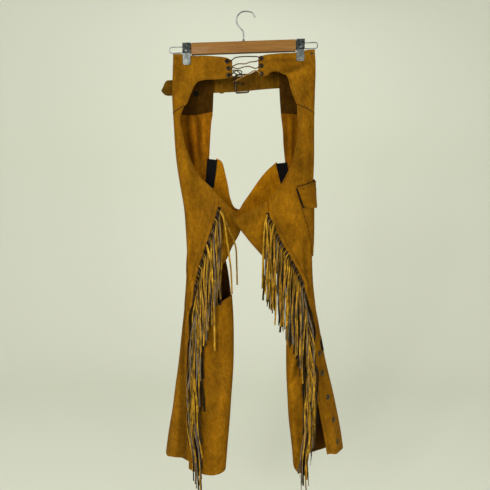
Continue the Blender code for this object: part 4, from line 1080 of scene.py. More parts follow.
def outer_lines(side):
    leg, cuts = LEGS[side], CUTS[side]
    top = shifted(yoke_seam(side, 13 * COLS_FINER + 1), (0, -SEAM / 2))
    z_meet = cuts["fringe"][0][1]
    seat = [tuple(top[0])] + to_turns(leg, cuts["seat_edge"][1:-1])
    seat += [(float(seam_turn(side, z_meet)) - SEAM_TURN[side], z_meet)]
    seam = [(shin_edge(side, z), z) for x, z in cuts["fringe"]]
    seat = on_scale(seat, 8 * ROWS_FINER + 1)
    seam = on_scale(seam, 16 * ROWS_FINER + 1)
    far = [tuple(top[-1])] + to_turns(leg, cuts["front_edge"][1:], False)
    far += [(t + 0.8, z) for t, z in to_turns(leg, cuts["front_seam"], False)]
    far += [(FRONT_SEAM_TURN - 360 + 1.5, z) for z in (-700, -730, -780, -880, -980, -1080, HEM_Z)]
    far = on_scale(far, 24 * ROWS_FINER + 1)
    near = np.concatenate((seat, seam[1:]))
    foot = between((near[-1][0], HEM_Z), (far[-1][0], HEM_Z), 13 * COLS_FINER + 1)
    foot, near, far, seam = (hemmed(side, "outer", shadow_line) for shadow_line in (foot, near, far, seam))
    return {"top": top, "foot": foot, "near": near, "far": far, "seat": seat, "seam": seam}


def thigh_lines(side):
    leg, cuts = LEGS[side], CUTS[side]
    rows, cols = 9 * 6 + 1, 14 * 5 + 1
    meets, meets_front = cuts["flap_meets_seam"], cuts["flap_meets_front"]
    gap = SEAM_TURN[side]
    seam = [(float(seam_turn(side, z)) + gap, z) for x, z in cuts["fringe"] if z > meets + 8]
    seam += [(float(seam_turn(side, meets)) + gap, meets)]
    front_line = past_back(to_turns(leg, cuts["crotch_front"], False))
    fold_z = (cuts["crotch_back"][-1][1] + cuts["crotch_front"][0][1]) / 2
    top = to_turns(leg, cuts["crotch_back"]) + [(180, fold_z)] + front_line
    gusset = [front_line[-1]] + past_back(to_turns(leg, cuts["gusset_edge"][1:], False))
    below = to_turns(leg, [p for p in cuts["front_seam"] if p[1] > meets_front], False)
    gusset += [(t - 0.8, z) for t, z in past_back(below)]
    foot = [seam[-1]] + to_turns(leg, cuts["flap_foot"]) + [(180, cuts["flap_fold_z"]), gusset[-1]]
    return {"top": on_scale(top, cols), "foot": on_scale(foot, cols), "near": on_scale(seam, rows),
            "far": on_scale(gusset, rows)}


def calf_lines(side):
    leg, cuts = LEGS[side], CUTS[side]
    rows, cols = 12 * 9 + 1, 8 * 6 + 1
    meets, fold_z = cuts["calf_meets_seam"], cuts["calf_fold_z"]
    gap = SEAM_TURN[side]
    seam = [(float(seam_turn(side, meets)) + gap, meets)]
    seam += [(float(seam_turn(side, z)) + gap, z) for x, z in cuts["fringe"] if z < meets - 12]
    far = between((FRONT_SEAM_TURN - 2.2, fold_z - 6), (FRONT_SEAM_TURN - 2.2, HEM_Z), rows)
    top = [seam[0]] + to_turns(leg, cuts["calf_top"]) + [(180, fold_z), tuple(far[0])]
    near = on_scale(seam, rows)
    foot, near, far = (hemmed(side, "calf", shadow_line) for shadow_line in (between(near[-1], far[-1], cols), near, far))
    return {"top": on_scale(top, cols), "foot": foot, "near": near, "far": far}


def gusset_lines(side):
    leg, cuts = LEGS[side], CUTS[side]
    near = on_scale(to_turns(leg, [p for p in cuts["front_edge"] if p[1] < -335], False), 41)
    far = on_scale(to_turns(leg, cuts["gusset_edge"], False), 41)
    under = 3.0 * np.sign(near[0, 0] - far[0, 0])
    near, far = shifted(near, (under, -1.5)), shifted(far, (-under, -1.5))
    return {"top": between(near[0], far[0], 19), "foot": between(near[-1], far[-1], 19), "near": near, "far": far}


def grid_of(lines):
    return patch(lines["top"], lines["foot"], lines["near"], lines["far"])


def outer_points(side, grid, lift):
    return outward(LEGS[side], grid[..., 0], grid[..., 1], np.full(grid.shape[:2], lift))[0]


def hide_from(name, side, lines, mats, nodes, thickness=SUEDE, lift=0.0):
    grid = grid_of(lines)
    obj = leg_shell(name, side, grid, thickness, mats, lift)
    return cloth(obj, nodes, outer_points(side, grid, lift))


def stitched(name, rows, mats, step, size):
    """Rows of stitches: each row is (thread, side, (turn, z) line, lift)."""
    # Brown rows are laid closer and thicker, so that they also read as the painted shade of the seam.
    for kind, mat, closer, thicker in (("yellow", "thread", 1.0, 1.0), ("brown", "dark_thread_and_seam_shade", 0.5, 1.3)):
        lines = [outward(LEGS[side], shadow_line[:, 0], shadow_line[:, 1], np.full(len(shadow_line), lift))[0]
                 for colour, side, shadow_line, lift in rows if colour == kind]
        if lines:
            stitch = (size[0] * thicker * MM, size[1] * thicker * MM, size[2] * closer * MM)
            made = grown(lines_object(f"{name}_{kind}", lines), NODE_TREES["stitch"],
                         {"Step": step * closer * MM, "Size": stitch, "Material": mats[mat]})
            attach(made)


def seam_strip(name, side, shadow_line, half_width, mat, depth=0.5):
    """Seam allowance laid behind a seam; with a negative depth the strip lies on top of the seam instead."""
    grid = np.stack([inset(LEGS[side], shadow_line, offset) for offset in np.linspace(-half_width, half_width, 4)], axis=1)
    attach(leg_shell(name, side, grid, 0.6, (mat, mat), -(SUEDE / 2 + depth)))


def double(side, leg, shadow_line, first, second, lift):
    """The row beside an edge is brown and close, and stands in also for the seam's painted shade; the next one
    yellow.
    """
    return [("brown", side, inset(leg, shadow_line, first), lift), ("yellow", side, inset(leg, shadow_line, second), lift)]


def trimmed(shadow_line, start, end):
    """A stretch of a line, by shares of its points."""
    count = len(shadow_line)
    return shadow_line[int(count * start):max(int(count * end), 2)]


def panel_stitches(side):
    """Double rows beside every seam and edge of a leg's pieces."""
    leg = LEGS[side]
    top_lift = SUEDE / 2 + 0.15
    yoke, outer, thigh, calf = yoke_lines(side), outer_lines(side), thigh_lines(side), calf_lines(side)
    rows = []
    rows += double(side, leg, trimmed(yoke["seam"], 0.02, 0.98), -2.2, -6.0, top_lift)
    rows += double(side, leg, trimmed(yoke["free"], 0.03, 0.97), -2.6, -6.2, top_lift)
    rows += [("yellow", side, inset(leg, trimmed(yoke["top"], 0.02, 0.98), 3.0), top_lift)]
    rows += double(side, leg, trimmed(yoke["laced"], 0.08, 0.92), -2.6, -15.0, top_lift)
    rows += double(side, leg, trimmed(outer["seat"], 0.02, 0.98), -2.8, -6.6, top_lift)
    rows += double(side, leg, trimmed(outer["seam"], 0.01, 0.99), -8.5, -12.0, top_lift)
    rows += double(side, leg, trimmed(outer["far"], 0.01, 0.34), 2.8, 6.4, top_lift)
    rows += double(side, leg, trimmed(outer["far"], 0.36, 0.99), 2.4, 6.0, top_lift)
    rows += [("yellow", side, inset(leg, trimmed(outer["foot"], 0.02, 0.98), -9.0), top_lift)]
    rows += double(side, leg, trimmed(thigh["top"], 0.03, 0.97), -2.8, -6.6, top_lift)
    rows += double(side, leg, trimmed(thigh["foot"], 0.05, 0.95), 2.8, 6.4, top_lift)
    rows += double(side, leg, trimmed(calf["top"], 0.05, 0.95), -2.8, -6.4, top_lift)
    rows += [("yellow", side, inset(leg, trimmed(calf["foot"], 0.03, 0.97), 9.0), top_lift)]
    return rows


def build_hides(mats, step, size):
    rows = []
    for side in LEGS:
        lines = yoke_lines(side)
        grid = patch(lines["top"], lines["foot"], lines["laced"], lines["front"])
        obj = leg_shell(f"chaps_yoke_{side}", side, grid, SUEDE, (mats["suede"], mats["yoke_inside"]))
        cloth(obj, [f"yoke_{side}"], outer_points(side, grid, 0.0))
        hide_from(f"chaps_leg_outer_{side}", side, outer_lines(side), (mats["suede"], mats["inside"]),
                  [f"leg_outer_{side}"])
        hide_from(f"chaps_thigh_inner_{side}", side, thigh_lines(side), (mats["suede"], mats["thigh_inside"]),
                  [f"thigh_inner_{side}"])
        hide_from(f"chaps_calf_inner_{side}", side, calf_lines(side), (mats["suede"], mats["inside"]),
                  [f"calf_inner_{side}"])
        hide_from(f"chaps_gusset_{side}", side, gusset_lines(side), (mats["knit"], mats["knit"]),
                  [f"gusset_{side}"], GUSSET, -(SUEDE / 2 + 3 * TOUCH + GUSSET / 2))
        rows += panel_stitches(side)
        outer = outer_lines(side)
        seam_strip(f"chaps_yoke_allowance_{side}", side, trimmed(yoke_lines(side)["seam"], 0.09, 1.0), 5.0, mats["inside"])
        # A thin dark strip over the yoke seam: the painted shadow of the seam's lapped edge.
        seam_strip(f"chaps_yoke_lap_{side}", side, trimmed(yoke_lines(side)["seam"], 0.0, 0.97), 0.75, mats["shadow"],
                   -(SUEDE + 0.1))
        seam_strip(f"chaps_front_allowance_{side}", side, trimmed(outer["far"], 0.37, 0.98), 4.0, mats["inside"])
        seam_strip(f"chaps_fringe_allowance_{side}", side, trimmed(outer["seam"], 0.02, 0.98 if side == "left" else 0.5),
                   4.0, mats["inside"])
    stitched("panel_stitches", rows, mats, step, size)


def overlay_grid(corners, cols, rows, rounding=0.0):
    """Bilinear (turn, z) grid between four corners, its foot corners cut round if asked."""
    top_a, top_b, foot_b, foot_a = (np.array(c, dtype=float) for c in corners)
    u = np.linspace(0, 1, cols)[None, :, None]
    v = np.linspace(0, 1, rows)[:, None, None]
    v = v * (1 - rounding * np.abs(2 * u - 1) ** 5)
    return mix(mix(top_a, top_b, u), mix(foot_a, foot_b, u), v)


def border(grid, rows_in, cols_in):
    """The line round a grid, some cells inside its edge, open at the top."""
    inner = grid[rows_in:-rows_in, cols_in:-cols_in]
    return np.concatenate((inner[:, 0], inner[-1, 1:], inner[-2::-1, -1]))


POCKET_PATCH = ((56, -422), (-52, -392), (-42, -596), (15, -580))
POCKET_FLAP = ((57, -413), (-56, -380), (-52, -456), (44, -466))


def build_pocket(mats, step, size):
    patch_lift = SUEDE / 2 + 3.5 * TOUCH + POCKET_LEATHER / 2
    flap_lift = patch_lift + POCKET_LEATHER + 2 * TOUCH
    patch_grid = overlay_grid(POCKET_PATCH, 49, 57)
    puff = np.sin(np.linspace(0, math.pi, 57))[:, None] * np.sin(np.linspace(0, math.pi, 49))[None]
    flap_grid = overlay_grid(POCKET_FLAP, 49, 25, 0.14)
    obj = leg_shell("chaps_pocket_patch", "right", patch_grid, POCKET_LEATHER, (mats["suede"], mats["inside"]),
                    patch_lift + 1.6 * puff ** 0.7)
    cloth(obj, ["pocket_patch"], outer_points("right", patch_grid, patch_lift))
    v = np.linspace(0, 1, 25)[:, None]
    stand = FLAP_STANDS_OFF * v ** 1.4 + 1.2 * np.sin(np.linspace(0, 9, 49))[None] * v
    obj = leg_shell("chaps_pocket_flap", "right", flap_grid, POCKET_LEATHER, (mats["suede"], mats["inside"]),
                    flap_lift + stand + 1.8 * smooth(v * 3))
    cloth(obj, ["pocket_flap"], outer_points("right", flap_grid, flap_lift))
    face = POCKET_LEATHER / 2 + 0.15
    shade = overlay_grid(((58.4, -417), (50, -414), (40, -462), (45.1, -464)), 12, 14)
    attach(leg_shell("chaps_pocket_shadow", "right", shade, 0.5, (mats["shadow"], mats["shadow"]),
                     patch_lift + POCKET_LEATHER / 2 + 0.4))
    # Thin dark strips beside the patch's left and bottom edges and above the flap: painted shadow where the leather
    # steps up.
    edge = np.concatenate((patch_grid[2:, 0], patch_grid[-1, 1:]))
    above = shifted(flap_grid[0, 1:-1], (0, 1.4))
    for name, shadow_line, lift, offsets in (("edge", edge, SUEDE / 2 + 0.3, (-1.6, 0.4)),
                                      ("flap", above, SUEDE / 2 + 0.3, (-0.9, 0.9))):
        strip = np.stack([inset(LEGS["right"], shadow_line, offset) for offset in np.linspace(*offsets, 3)], axis=1)
        attach(leg_shell(f"chaps_pocket_{name}_line", "right", strip, 0.3, (mats["shadow"], mats["shadow"]), lift))
    rows = [("brown", "right", border(patch_grid, 1, 1), patch_lift + face),
            ("brown", "right", border(patch_grid, 3, 3), patch_lift + face)]
    flap_lines = []
    for cells in (1, 3):
        shadow_line = flap_grid[cells]
        flap_lines.append(("brown", "right", shadow_line, flap_lift + face + 1.0))
    stitched("pocket_stitches", rows + flap_lines, mats, step, size)


# Fringe

def back_y(side, x, z):
    """Depth of the outer face of the back wall at x and z."""
    leg = LEGS[side]
    z = np.clip(z, HEM_Z, leg["rows"][0]["z"])
    row = sections(leg, z)
    low, high = np.minimum(row["inner_x"], row["outer_x"]), np.maximum(row["inner_x"], row["outer_x"])
    x = np.clip(x, low + 1, high - 1)
    return creased_point(leg, turn_at(leg, x, z), z)[..., 1] - SUEDE / 2


def settle(side, x, z, clear):
    """Depths of strands that hang down in front of the wall: they lean in slowly and never enter it."""
    wall_y = back_y(side, x, z) - clear
    y = wall_y.copy()
    for k in range(1, x.shape[1]):
        y[:, k] = np.minimum(wall_y[:, k], y[:, k - 1] + 0.10 * (z[:, k - 1] - z[:, k]))
    return y


FRINGE_COLUMNS = ("name", "side", "z_top", "z_foot", "lane_from", "lane_to", "length", "sway", "seed")
FRINGES = (
    ("fringe_thigh_left", "left", -461, -652, -2.0, 8.0, 204, 0.0, 11),
    ("fringe_shin_left", "left", -656, -1004, -20.0, 19.0, 204, 14.0, 12),
    ("fringe_thigh_right", "right", -475, -655, -2.0, 8.0, 204, 0.0, 13),
    ("fringe_shin_right", "right", -659, -1004, -22.0, 14.0, 204, -10.0, 14),
)
STRAYS = (
    ("fringe_thigh_left", ((-61, -466), (-56, -480), (-48, -500), (-35, -531), (-25, -562), (-23, -612), (-22, -656)), 2.0, 0.6),
    ("fringe_thigh_left", ((-63, -471), (-54, -490), (-47, -540), (-38, -612), (-35, -678)), 2.1, 0.9),
    ("fringe_thigh_left", ((-96, -552), (-86, -600), (-80, -686), (-78, -761), (-78, -819)), 2.4, 1.1),
    ("fringe_thigh_right", ((50, -477), (44, -510), (41, -580), (40, -660)), 2.1, 1.0),
    ("fringe_thigh_right", ((66, -500), (58, -560), (54, -630), (53, -690)), 2.3, 0.9),
)


def strand_lines(fringe, count, half_width, step_down):
    """Centre lines of a fringe's strands, with their facing, width and tone; the tone darkens the deeper layers as
    painted shade between the strands.
    """
    side, leg = fringe["side"], LEGS[fringe["side"]]
    draw = random.Random(fringe["seed"])
    inward = -leg["side"]
    z_root = np.linspace(fringe["z_top"], fringe["z_foot"], count)
    z_root = z_root + np.array([draw.uniform(-0.7, 0.7) for _ in range(count)])
    turn = seam_turn(side, z_root)
    x_root = bare_point(leg, turn, z_root)[:, 0] + inward * 1.0
    lanes = np.array([mix(fringe["lane_from"], fringe["lane_to"], (n * 0.618 + draw.uniform(0, 0.25)) % 1.0)
                      for n in range(count)])
    lanes = 3.0 + (lanes - 3.0) * (1 - 0.5 * smooth((-840 - z_root) / 160.0))
    layers = np.array([(0, 2, 4, 1, 3, 2, 4, 1)[n % 8] for n in range(count)])
    lengths = np.array([fringe["length"] * draw.uniform(0.90, 1.06) for _ in range(count)])
    phase = np.array([draw.uniform(0, 6.28) for _ in range(count)])
    wave = np.array([draw.uniform(1.0, 3.2) for _ in range(count)])
    drift = np.array([draw.uniform(-5.0, 5.0) for _ in range(count)])
    turned_back = np.array([draw.random() < 0.17 for _ in range(count)])
    turn_start = np.array([draw.gauss(0, 0.6) for _ in range(count)]) + np.where(turned_back, math.pi, 0.0)
    turn_rate = np.array([draw.gauss(0, 1.7) for _ in range(count)])
    # Random tone times painted shade: deeper layers are darker, as if shaded by the strands in front; layer 0, widest
    # and darkest, is a painted shadow behind the bundle.
    tone = np.array([draw.uniform(0.8, 1.15) for _ in range(count)]) * np.interp(layers, (0, 1, 2, 3, 4), (0.05, 0.11, 0.26, 0.66, 1.0))
    width = np.array([half_width * draw.uniform(0.85, 1.15) for _ in range(count)]) * np.where(layers == 0, 1.4, 1.0)
    ends = lengths[:, None]
    down = np.concatenate((np.array((0.0, 3.0, 6.0, 9.0, 13.0, 19.0, 27.0))[None] * np.ones_like(ends),
                           27.0 + (ends - 27.0) * np.linspace(0, 1, step_down + 1)[None, 1:]), axis=1)
    share = down / ends
    z = z_root[:, None] - down
    x = (x_root[:, None] + inward * (6.5 * smooth(down / 10.0) + (lanes[:, None] - 2.0) * smooth((down - 5.0) / 80.0))
         + (wave[:, None] * np.sin(z / 34.0 + phase[:, None]) + drift[:, None] * share) * smooth(down / 60.0)
         + fringe["sway"] * smooth((-1010 - z) / 120.0))
    layer = 2.0 + 0.02 * down + 2.3 * layers[:, None] * smooth(down / 30.0)
    y = settle(side, x, z, layer)
    angle = (turn_start[:, None] + turn_rate[:, None] * share + 0.5 * np.sin(z / 26.0 + 2 * phase[:, None]) * share
             + inward * 1.35 * (1 - smooth(down / 18.0))
             + 0.75 * np.sin(z / 17.0 + 5 * phase[:, None]) * smooth((down - 40.0) / 60.0))
    facing = np.stack((np.sin(angle), -np.cos(angle), np.zeros_like(angle)), axis=-1)
    points = np.stack((x, y, z), axis=-1)
    taper = 0.5 + 0.5 * smooth((down - 8.0) / 24.0)
    return points, facing, width[:, None] * taper, tone[:, None] * np.ones_like(x)


def stray_line(side, path, half_width, tone, index):
    route = sampled([(x, z) for x, z in path], 26)
    x, z = route[None, :, 0], route[None, :, 1]
    y = settle(side, x, z, 9.0 + 1.5 * (index % 3) * np.ones_like(x))
    y[0, :3] = np.minimum(y[0, :3], back_y(side, x, z)[0, :3] - 2.0)
    angle = 0.3 * np.sin(z / 40.0 + index)
    facing = np.stack((np.sin(angle), -np.cos(angle), np.zeros_like(angle)), axis=-1)
    points = np.stack((x, y, z), axis=-1)
    return points[0], facing[0], half_width * np.ones(len(route)), tone * np.ones(len(route))


def welt(fringe, mats):
    """Folded band along the seam that the strands come out of."""
    side, leg = fringe["side"], LEGS[fringe["side"]]
    z = np.linspace(fringe["z_top"] + 6, fringe["z_foot"] - 6, 90)
    shadow_line = np.stack((seam_turn(side, z), z), axis=1)
    offsets = np.linspace(7.2, -1.6, 9)
    if fringe["name"] == "fringe_shin_right":
        offsets = np.linspace(1.5, -5.5, 9)
    grid = np.stack([inset(leg, shadow_line, -offset) for offset in offsets], axis=1)
    arch = 1.5 * np.sqrt(np.clip(1 - np.linspace(-1, 1, 9) ** 2, 0, 1))[None] * np.ones((90, 1))
    return leg_shell(f"{fringe['name']}_welt", side, grid, 1.3, (mats["suede"], mats["suede"]),
                     SUEDE / 2 + 1.0 + arch)


def root_shadow_strip(fringe, mats):
    """Dark strip under the strand roots, inward of the seam: painted shadow between the roots."""
    side = fringe["side"]
    z = np.linspace(fringe["z_top"] + 1, fringe["z_foot"] - 4, 90)
    shadow_line = np.stack((seam_turn(side, z), z), axis=1)
    grid = np.stack([inset(LEGS[side], shadow_line, offset) for offset in np.linspace(0.8, 9.5, 6)], axis=1)
    return leg_shell(f"{fringe['name']}_backing", side, grid, 0.5, (mats["shadow"], mats["shadow"]), SUEDE / 2 + 0.6)


def build_fringes(mats, counts, half_width, flatness):
    for fringe in columns(FRINGES, FRINGE_COLUMNS):
        count = counts["thigh" if "thigh" in fringe["name"] else "shin"][fringe["side"]]
        points, facing, width, tone = strand_lines(fringe, count, half_width, 22)
        lists = [list(points), list(facing), list(width), list(tone)]
        for index, (name, path, stray_half, stray_tone) in enumerate(STRAYS):
            if name == fringe["name"]:
                for made, value in zip(lists, stray_line(fringe["side"], path, stray_half, stray_tone, index)):
                    made.append(value)
        obj = lines_object(f"{fringe['name']}_strands", lists[0], (
            ("facing", "FLOAT_VECTOR", lists[1]), ("half_width", "FLOAT", [w * MM for w in lists[2]]), ("tone", "FLOAT", lists[3])))
        strands = grown(obj, NODE_TREES["strand"], {"Flatness": flatness, "Material": mats["strand"]})
        attach(strands, [fringe["name"]])
        attach(welt(fringe, mats))
        attach(root_shadow_strip(fringe, mats))


# Belt across the front

def belt_z(x):
    """Middle of the belt, which rises towards the right hip."""
    return BELT_Z + BELT_SLOPE * x + 3.2 * float(smooth((x + 160) / 70)) + 3.2 * float(smooth((x + 25) / 95))


def far_line(x, z):
    """Depth of the middle of the front wall at x, carried on where a hide ends."""
    def depth(side):
        leg = LEGS[side]
        row = sections(leg, z)
        share = (x - row["inner_x"]) / (row["outer_x"] - row["inner_x"])
        if not 0.0 < share < 1.0:
            return 0.0
        return float(bare_point(leg, turn_at(leg, x, z, False), z)[1])
    return mix(depth("left"), depth("right"), float(smooth((x + 45) / 90)))


def wall_depth(x):
    z = belt_z(x)
    return max(far_line(x, z), far_line(x, z - BELT_HALF), far_line(x, z + BELT_HALF))


def billet_y(x):
    """The long strap lies on the other at the hip and passes through the buckle to the hide."""
    layer = mix(BELT_LIFT + STRAP + 2 * TOUCH, BELT_LIFT, float(smooth((x - BUCKLE_X - 4) / 34.0)))
    return wall_depth(max(x, -150.0)) + layer


def strap_y(x):
    return wall_depth(x) + BELT_LIFT


def widening(x):
    """The strap cut from the right yoke grows wider from the buckle towards the hip."""
    return 14.0 * float(smooth((x + 6.0) / 52.0))


def strap_shell(name, xs, depth, half_width, mats, tip=False):
    """Flat strap with softly rounded edges, upright along x, with a pointed first end if asked."""
    depths = np.array([depth(x) for x in xs])
    depths = np.convolve(np.pad(depths, 2, mode="edge"), np.ones(5) / 5, mode="valid")
    v = np.linspace(-1, 1, 13)
    half = np.full(len(xs), half_width)
    if tip:
        half = half_width * np.clip(np.interp(xs - xs[0], (0, 3, 8, 13, 17), (0.04, 0.30, 0.72, 0.96, 1.0)), 0, 1)
    thin = STRAP / 2 * (1 - 0.55 * np.abs(v) ** 8)
    up = np.array([widening(x) if tip else 0.0 for x in xs])[:, None] * (v[None] + 1) / 2
    z = np.array([belt_z(x) for x in xs])[:, None] + v[None] * half[:, None] + up
    x = np.asarray(xs)[:, None] * np.ones_like(z)
    if tip:
        z = z - 5.7 * (1 - smooth((x - xs[0]) / 14.0))
    outer = np.stack((x, depths[:, None] + thin[None] + 0 * z, z), axis=-1)
    inner = np.stack((x, depths[:, None] - thin[None] + 0 * z, z), axis=-1)
    return shell(name, outer, inner, mats), (outer + inner) / 2


def belt_rows(xs, depth, half_width, inset_by, lifts):
    rows = []
    for lift in lifts:
        for sign in (-1, 1):
            rows.append(np.array([(x, depth(x) + lift, belt_z(x) + sign * (half_width - inset_by)) for x in xs]))
    return rows


def build_belt(mats, step, size):
    heel = BUCKLE_X - BUCKLE_LENGTH / 2
    toe = BUCKLE_X + BUCKLE_LENGTH / 2
    pair = (mats["belt"], mats["belt"])
    strap_end = heel - BUCKLE_WIRE / 2 - 0.4
    obj, middle = strap_shell("chaps_buckle_strap", np.linspace(-104.0, strap_end, 60), strap_y, BELT_HALF, pair)
    cloth(obj, ["belt_buckle_strap"], middle)
    obj, middle = strap_shell("chaps_belt_billet", np.concatenate((np.linspace(-208.0, -190.0, 25)[:-1], np.linspace(-190.0, 98.0, 170))), billet_y, BELT_HALF - 0.5, pair, True)
    cloth(obj, ["belt_billet"], middle)

    y_heel = strap_y(heel) - 0.9
    y_toe = billet_y(toe) + STRAP / 2 + BUCKLE_WIRE / 2 + 1.0
    half = BELT_HALF + BUCKLE_WIRE / 2 + 0.3
    loop = []
    for x, y, sign, along in ((heel, y_heel, -1, 1), (toe, y_toe, -1, -1), (toe, y_toe, 1, -1), (heel, y_heel, 1, 1)):
        corner = (x, y, belt_z(x) + sign * half)
        upright = (corner[0], corner[1], corner[2] - sign * 5.0)
        level = (corner[0] + along * 5.0, corner[1] + (y_toe - y_heel) / BUCKLE_LENGTH * along * 5.0, corner[2])
        cut = (corner[0] + along * 1.4, corner[1], corner[2] - sign * 1.4)
        loop += [upright, cut, level] if along * sign < 0 else [level, cut, upright]
    loop = [loop[-1]] + loop + [loop[0], loop[1]]
    frame_piece = tube("chaps_buckle_frame", loop[1:-1] + [loop[1]], BUCKLE_WIRE, mats["buckle"], 120, 5)
    attach(frame_piece, ["buckle_frame"])
    z = belt_z(BUCKLE_X)
    prong = [(heel - 1.5, y_heel - 2.6, z), (heel - 3.0, y_heel, z), (heel, y_heel + 2.8, z),
             (heel + 6, y_heel + 1.6, z), (BUCKLE_X - 6, y_heel - 0.2, z), (BUCKLE_X, billet_y(BUCKLE_X), z),
             (BUCKLE_X + 8, y_toe + 2.2, z), (toe, y_toe + BUCKLE_WIRE / 2 + 1.6, z), (toe + 1.6, y_toe + 3.2, z)]
    attach(tube("chaps_buckle_prong", prong, 3.0, mats["buckle"], 48, 4), ["buckle_prong"])

    x = KEEPER_X
    near_y, far_y = strap_y(x) - STRAP / 2 - 0.6, billet_y(x) + STRAP / 2 + 0.6
    rise = BELT_HALF + 0.4
    centre_y, half_y = (near_y + far_y) / 2, (far_y - near_y) / 2
    rings = []
    for grow in (KEEPER_LEATHER, 0.0):
        ring = []
        for angle in np.linspace(0, 2 * math.pi, 61):
            c, s = math.cos(angle), math.sin(angle)
            ring.append((math.copysign(abs(c) ** 0.35, c) * (half_y + grow), math.copysign(abs(s) ** 0.22, s) * (rise + grow)))
        rings.append(np.array(ring))
    grids = []
    for ring in rings:
        ends = np.linspace(-KEEPER_WIDTH / 2, KEEPER_WIDTH / 2, 7)
        grids.append(np.array([[(x + e, centre_y + dy, belt_z(x + e) + dz) for dy, dz in ring] for e in ends]))
    keeper = shell("chaps_belt_keeper", grids[0], grids[1], pair)
    attach(keeper, ["belt_keeper"])
    face = STRAP / 2 + 0.15
    xs = np.linspace(-170.0, 94.0, 120)
    rows = belt_rows(xs, billet_y, BELT_HALF - 0.5, 3.2, (face,)) + belt_rows(
        np.linspace(-100, strap_end - 4, 50), strap_y, BELT_HALF, 3.2, (-face,)) + belt_rows(
        np.linspace(12.0, 94.0, 50), billet_y, BELT_HALF - 0.5, 3.2, (-face,)) + belt_rows(
        np.linspace(-196.0, -180.0, 12), billet_y, BELT_HALF * 0.8, 3.0, (-face,))
    made = grown(lines_object("belt_stitches", rows), NODE_TREES["stitch"],
                 {"Step": step * MM, "Size": tuple(v * MM for v in size), "Material": mats["thread"]})
    attach(made)
    # The holes in the belt and for the prong are near-black discs: painted shade inside them.
    holes = [(x, billet_y(x) + STRAP / 2 + 0.02, belt_z(x)) for x in (-96, -118, -140, -162, -184)]
    disc = turned_piece("belt_hole", ((2.4, 0.0), (2.4, 0.12)), 20)
    studded("belt_holes", holes, [(0, 1, 0)] * len(holes), disc, mats["hole"])
    disc = turned_piece("prong_hole", ((3.0, 0.0), (3.0, 0.12)), 24)
    studded("belt_prong_hole", [(BUCKLE_X + 2, billet_y(BUCKLE_X + 2) - STRAP / 2 - 0.02, z)], [(0, -1, 0)], disc,
            mats["hole"])


# Small metal and lacing

def studded(name, places, facings, stud, mat, nodes=()):
    """One small piece repeated at places; the pattern piece itself is removed."""
    spots = lines_object(name, [[place] for place in places], [("facing", "FLOAT_VECTOR", [facings])])
    made = grown(spots, NODE_TREES["stud"], {"Stud": stud, "Material": mat})
    bpy.data.objects.remove(stud)
    for polygon in made.data.polygons:
        polygon.use_smooth = True
    made.data.set_sharp_from_angle(angle=SHARP_FROM)
    return attach(made, nodes)


def wall_spot(side, turn, z, lift):
    place, normal = outward(LEGS[side], np.array([float(turn)]), np.array([float(z)]), np.array([lift]))
    return place[0], normal[0]


def back_spot(side, x, z, lift):
    return wall_spot(side, turn_at(LEGS[side], x, z), z, SUEDE / 2 + lift)


SNAP_PROFILE = ((6.2, 0.0), (6.4, 0.7), (6.0, 1.4), (4.9, 1.7), (4.4, 1.4), (3.8, 2.0), (2.4, 2.5), (1.0, 2.65))
RIVET_PROFILE = ((3.4, 0.0), (3.3, 0.7), (2.4, 1.2), (1.0, 1.45))
EYELET_PROFILE = ((5.9, 0.0), (5.8, 0.8), (5.2, 1.4), (4.4, 1.6), (3.9, 1.3), (3.7, 0.5), (3.7, 0.0))


def build_studs(mats):
    spots = [wall_spot("right", turn, z, SUEDE / 2 + 0.1) for turn, z in SNAPS]
    studded("chaps_snaps", [p for p, n in spots], [n for p, n in spots], turned_piece("snap", tuple((r * 1.12, h) for r, h in SNAP_PROFILE), 28),
            mats["dark_metal"], [f"snap_{k + 1}" for k in range(len(SNAPS))])
    spot, way = back_spot("right", RIVET[0], RIVET[1], 0.1)
    studded("chaps_hip_rivet", [spot], [way], turned_piece("rivet", RIVET_PROFILE), mats["buckle"],
            ["hip_rivet"])
    leg = LEGS["left"]
    x, z = INSIDE_SNAP
    place, way = wall_spot("left", turn_at(leg, x, z, False), z, -(SUEDE / 2 + 0.1))
    studded("chaps_inside_snap", [place], [-way], turned_piece("snap_back", SNAP_PROFILE, 28), mats["hole"],
            ["inside_snap"])


def build_opening_stop(mats):
    """Short black stretch tab that ends the shin opening at the hip-side fold."""
    top = between((6, -800), (30, -812), 9)
    foot = between((10, -840), (32, -836), 9)
    grid = patch(top, foot, between(top[0], foot[0], 13), between(top[-1], foot[-1], 13))
    attach(leg_shell("chaps_opening_tab", "right", grid, 0.8, (mats["knit"], mats["knit"]), SUEDE / 2 + 0.5))


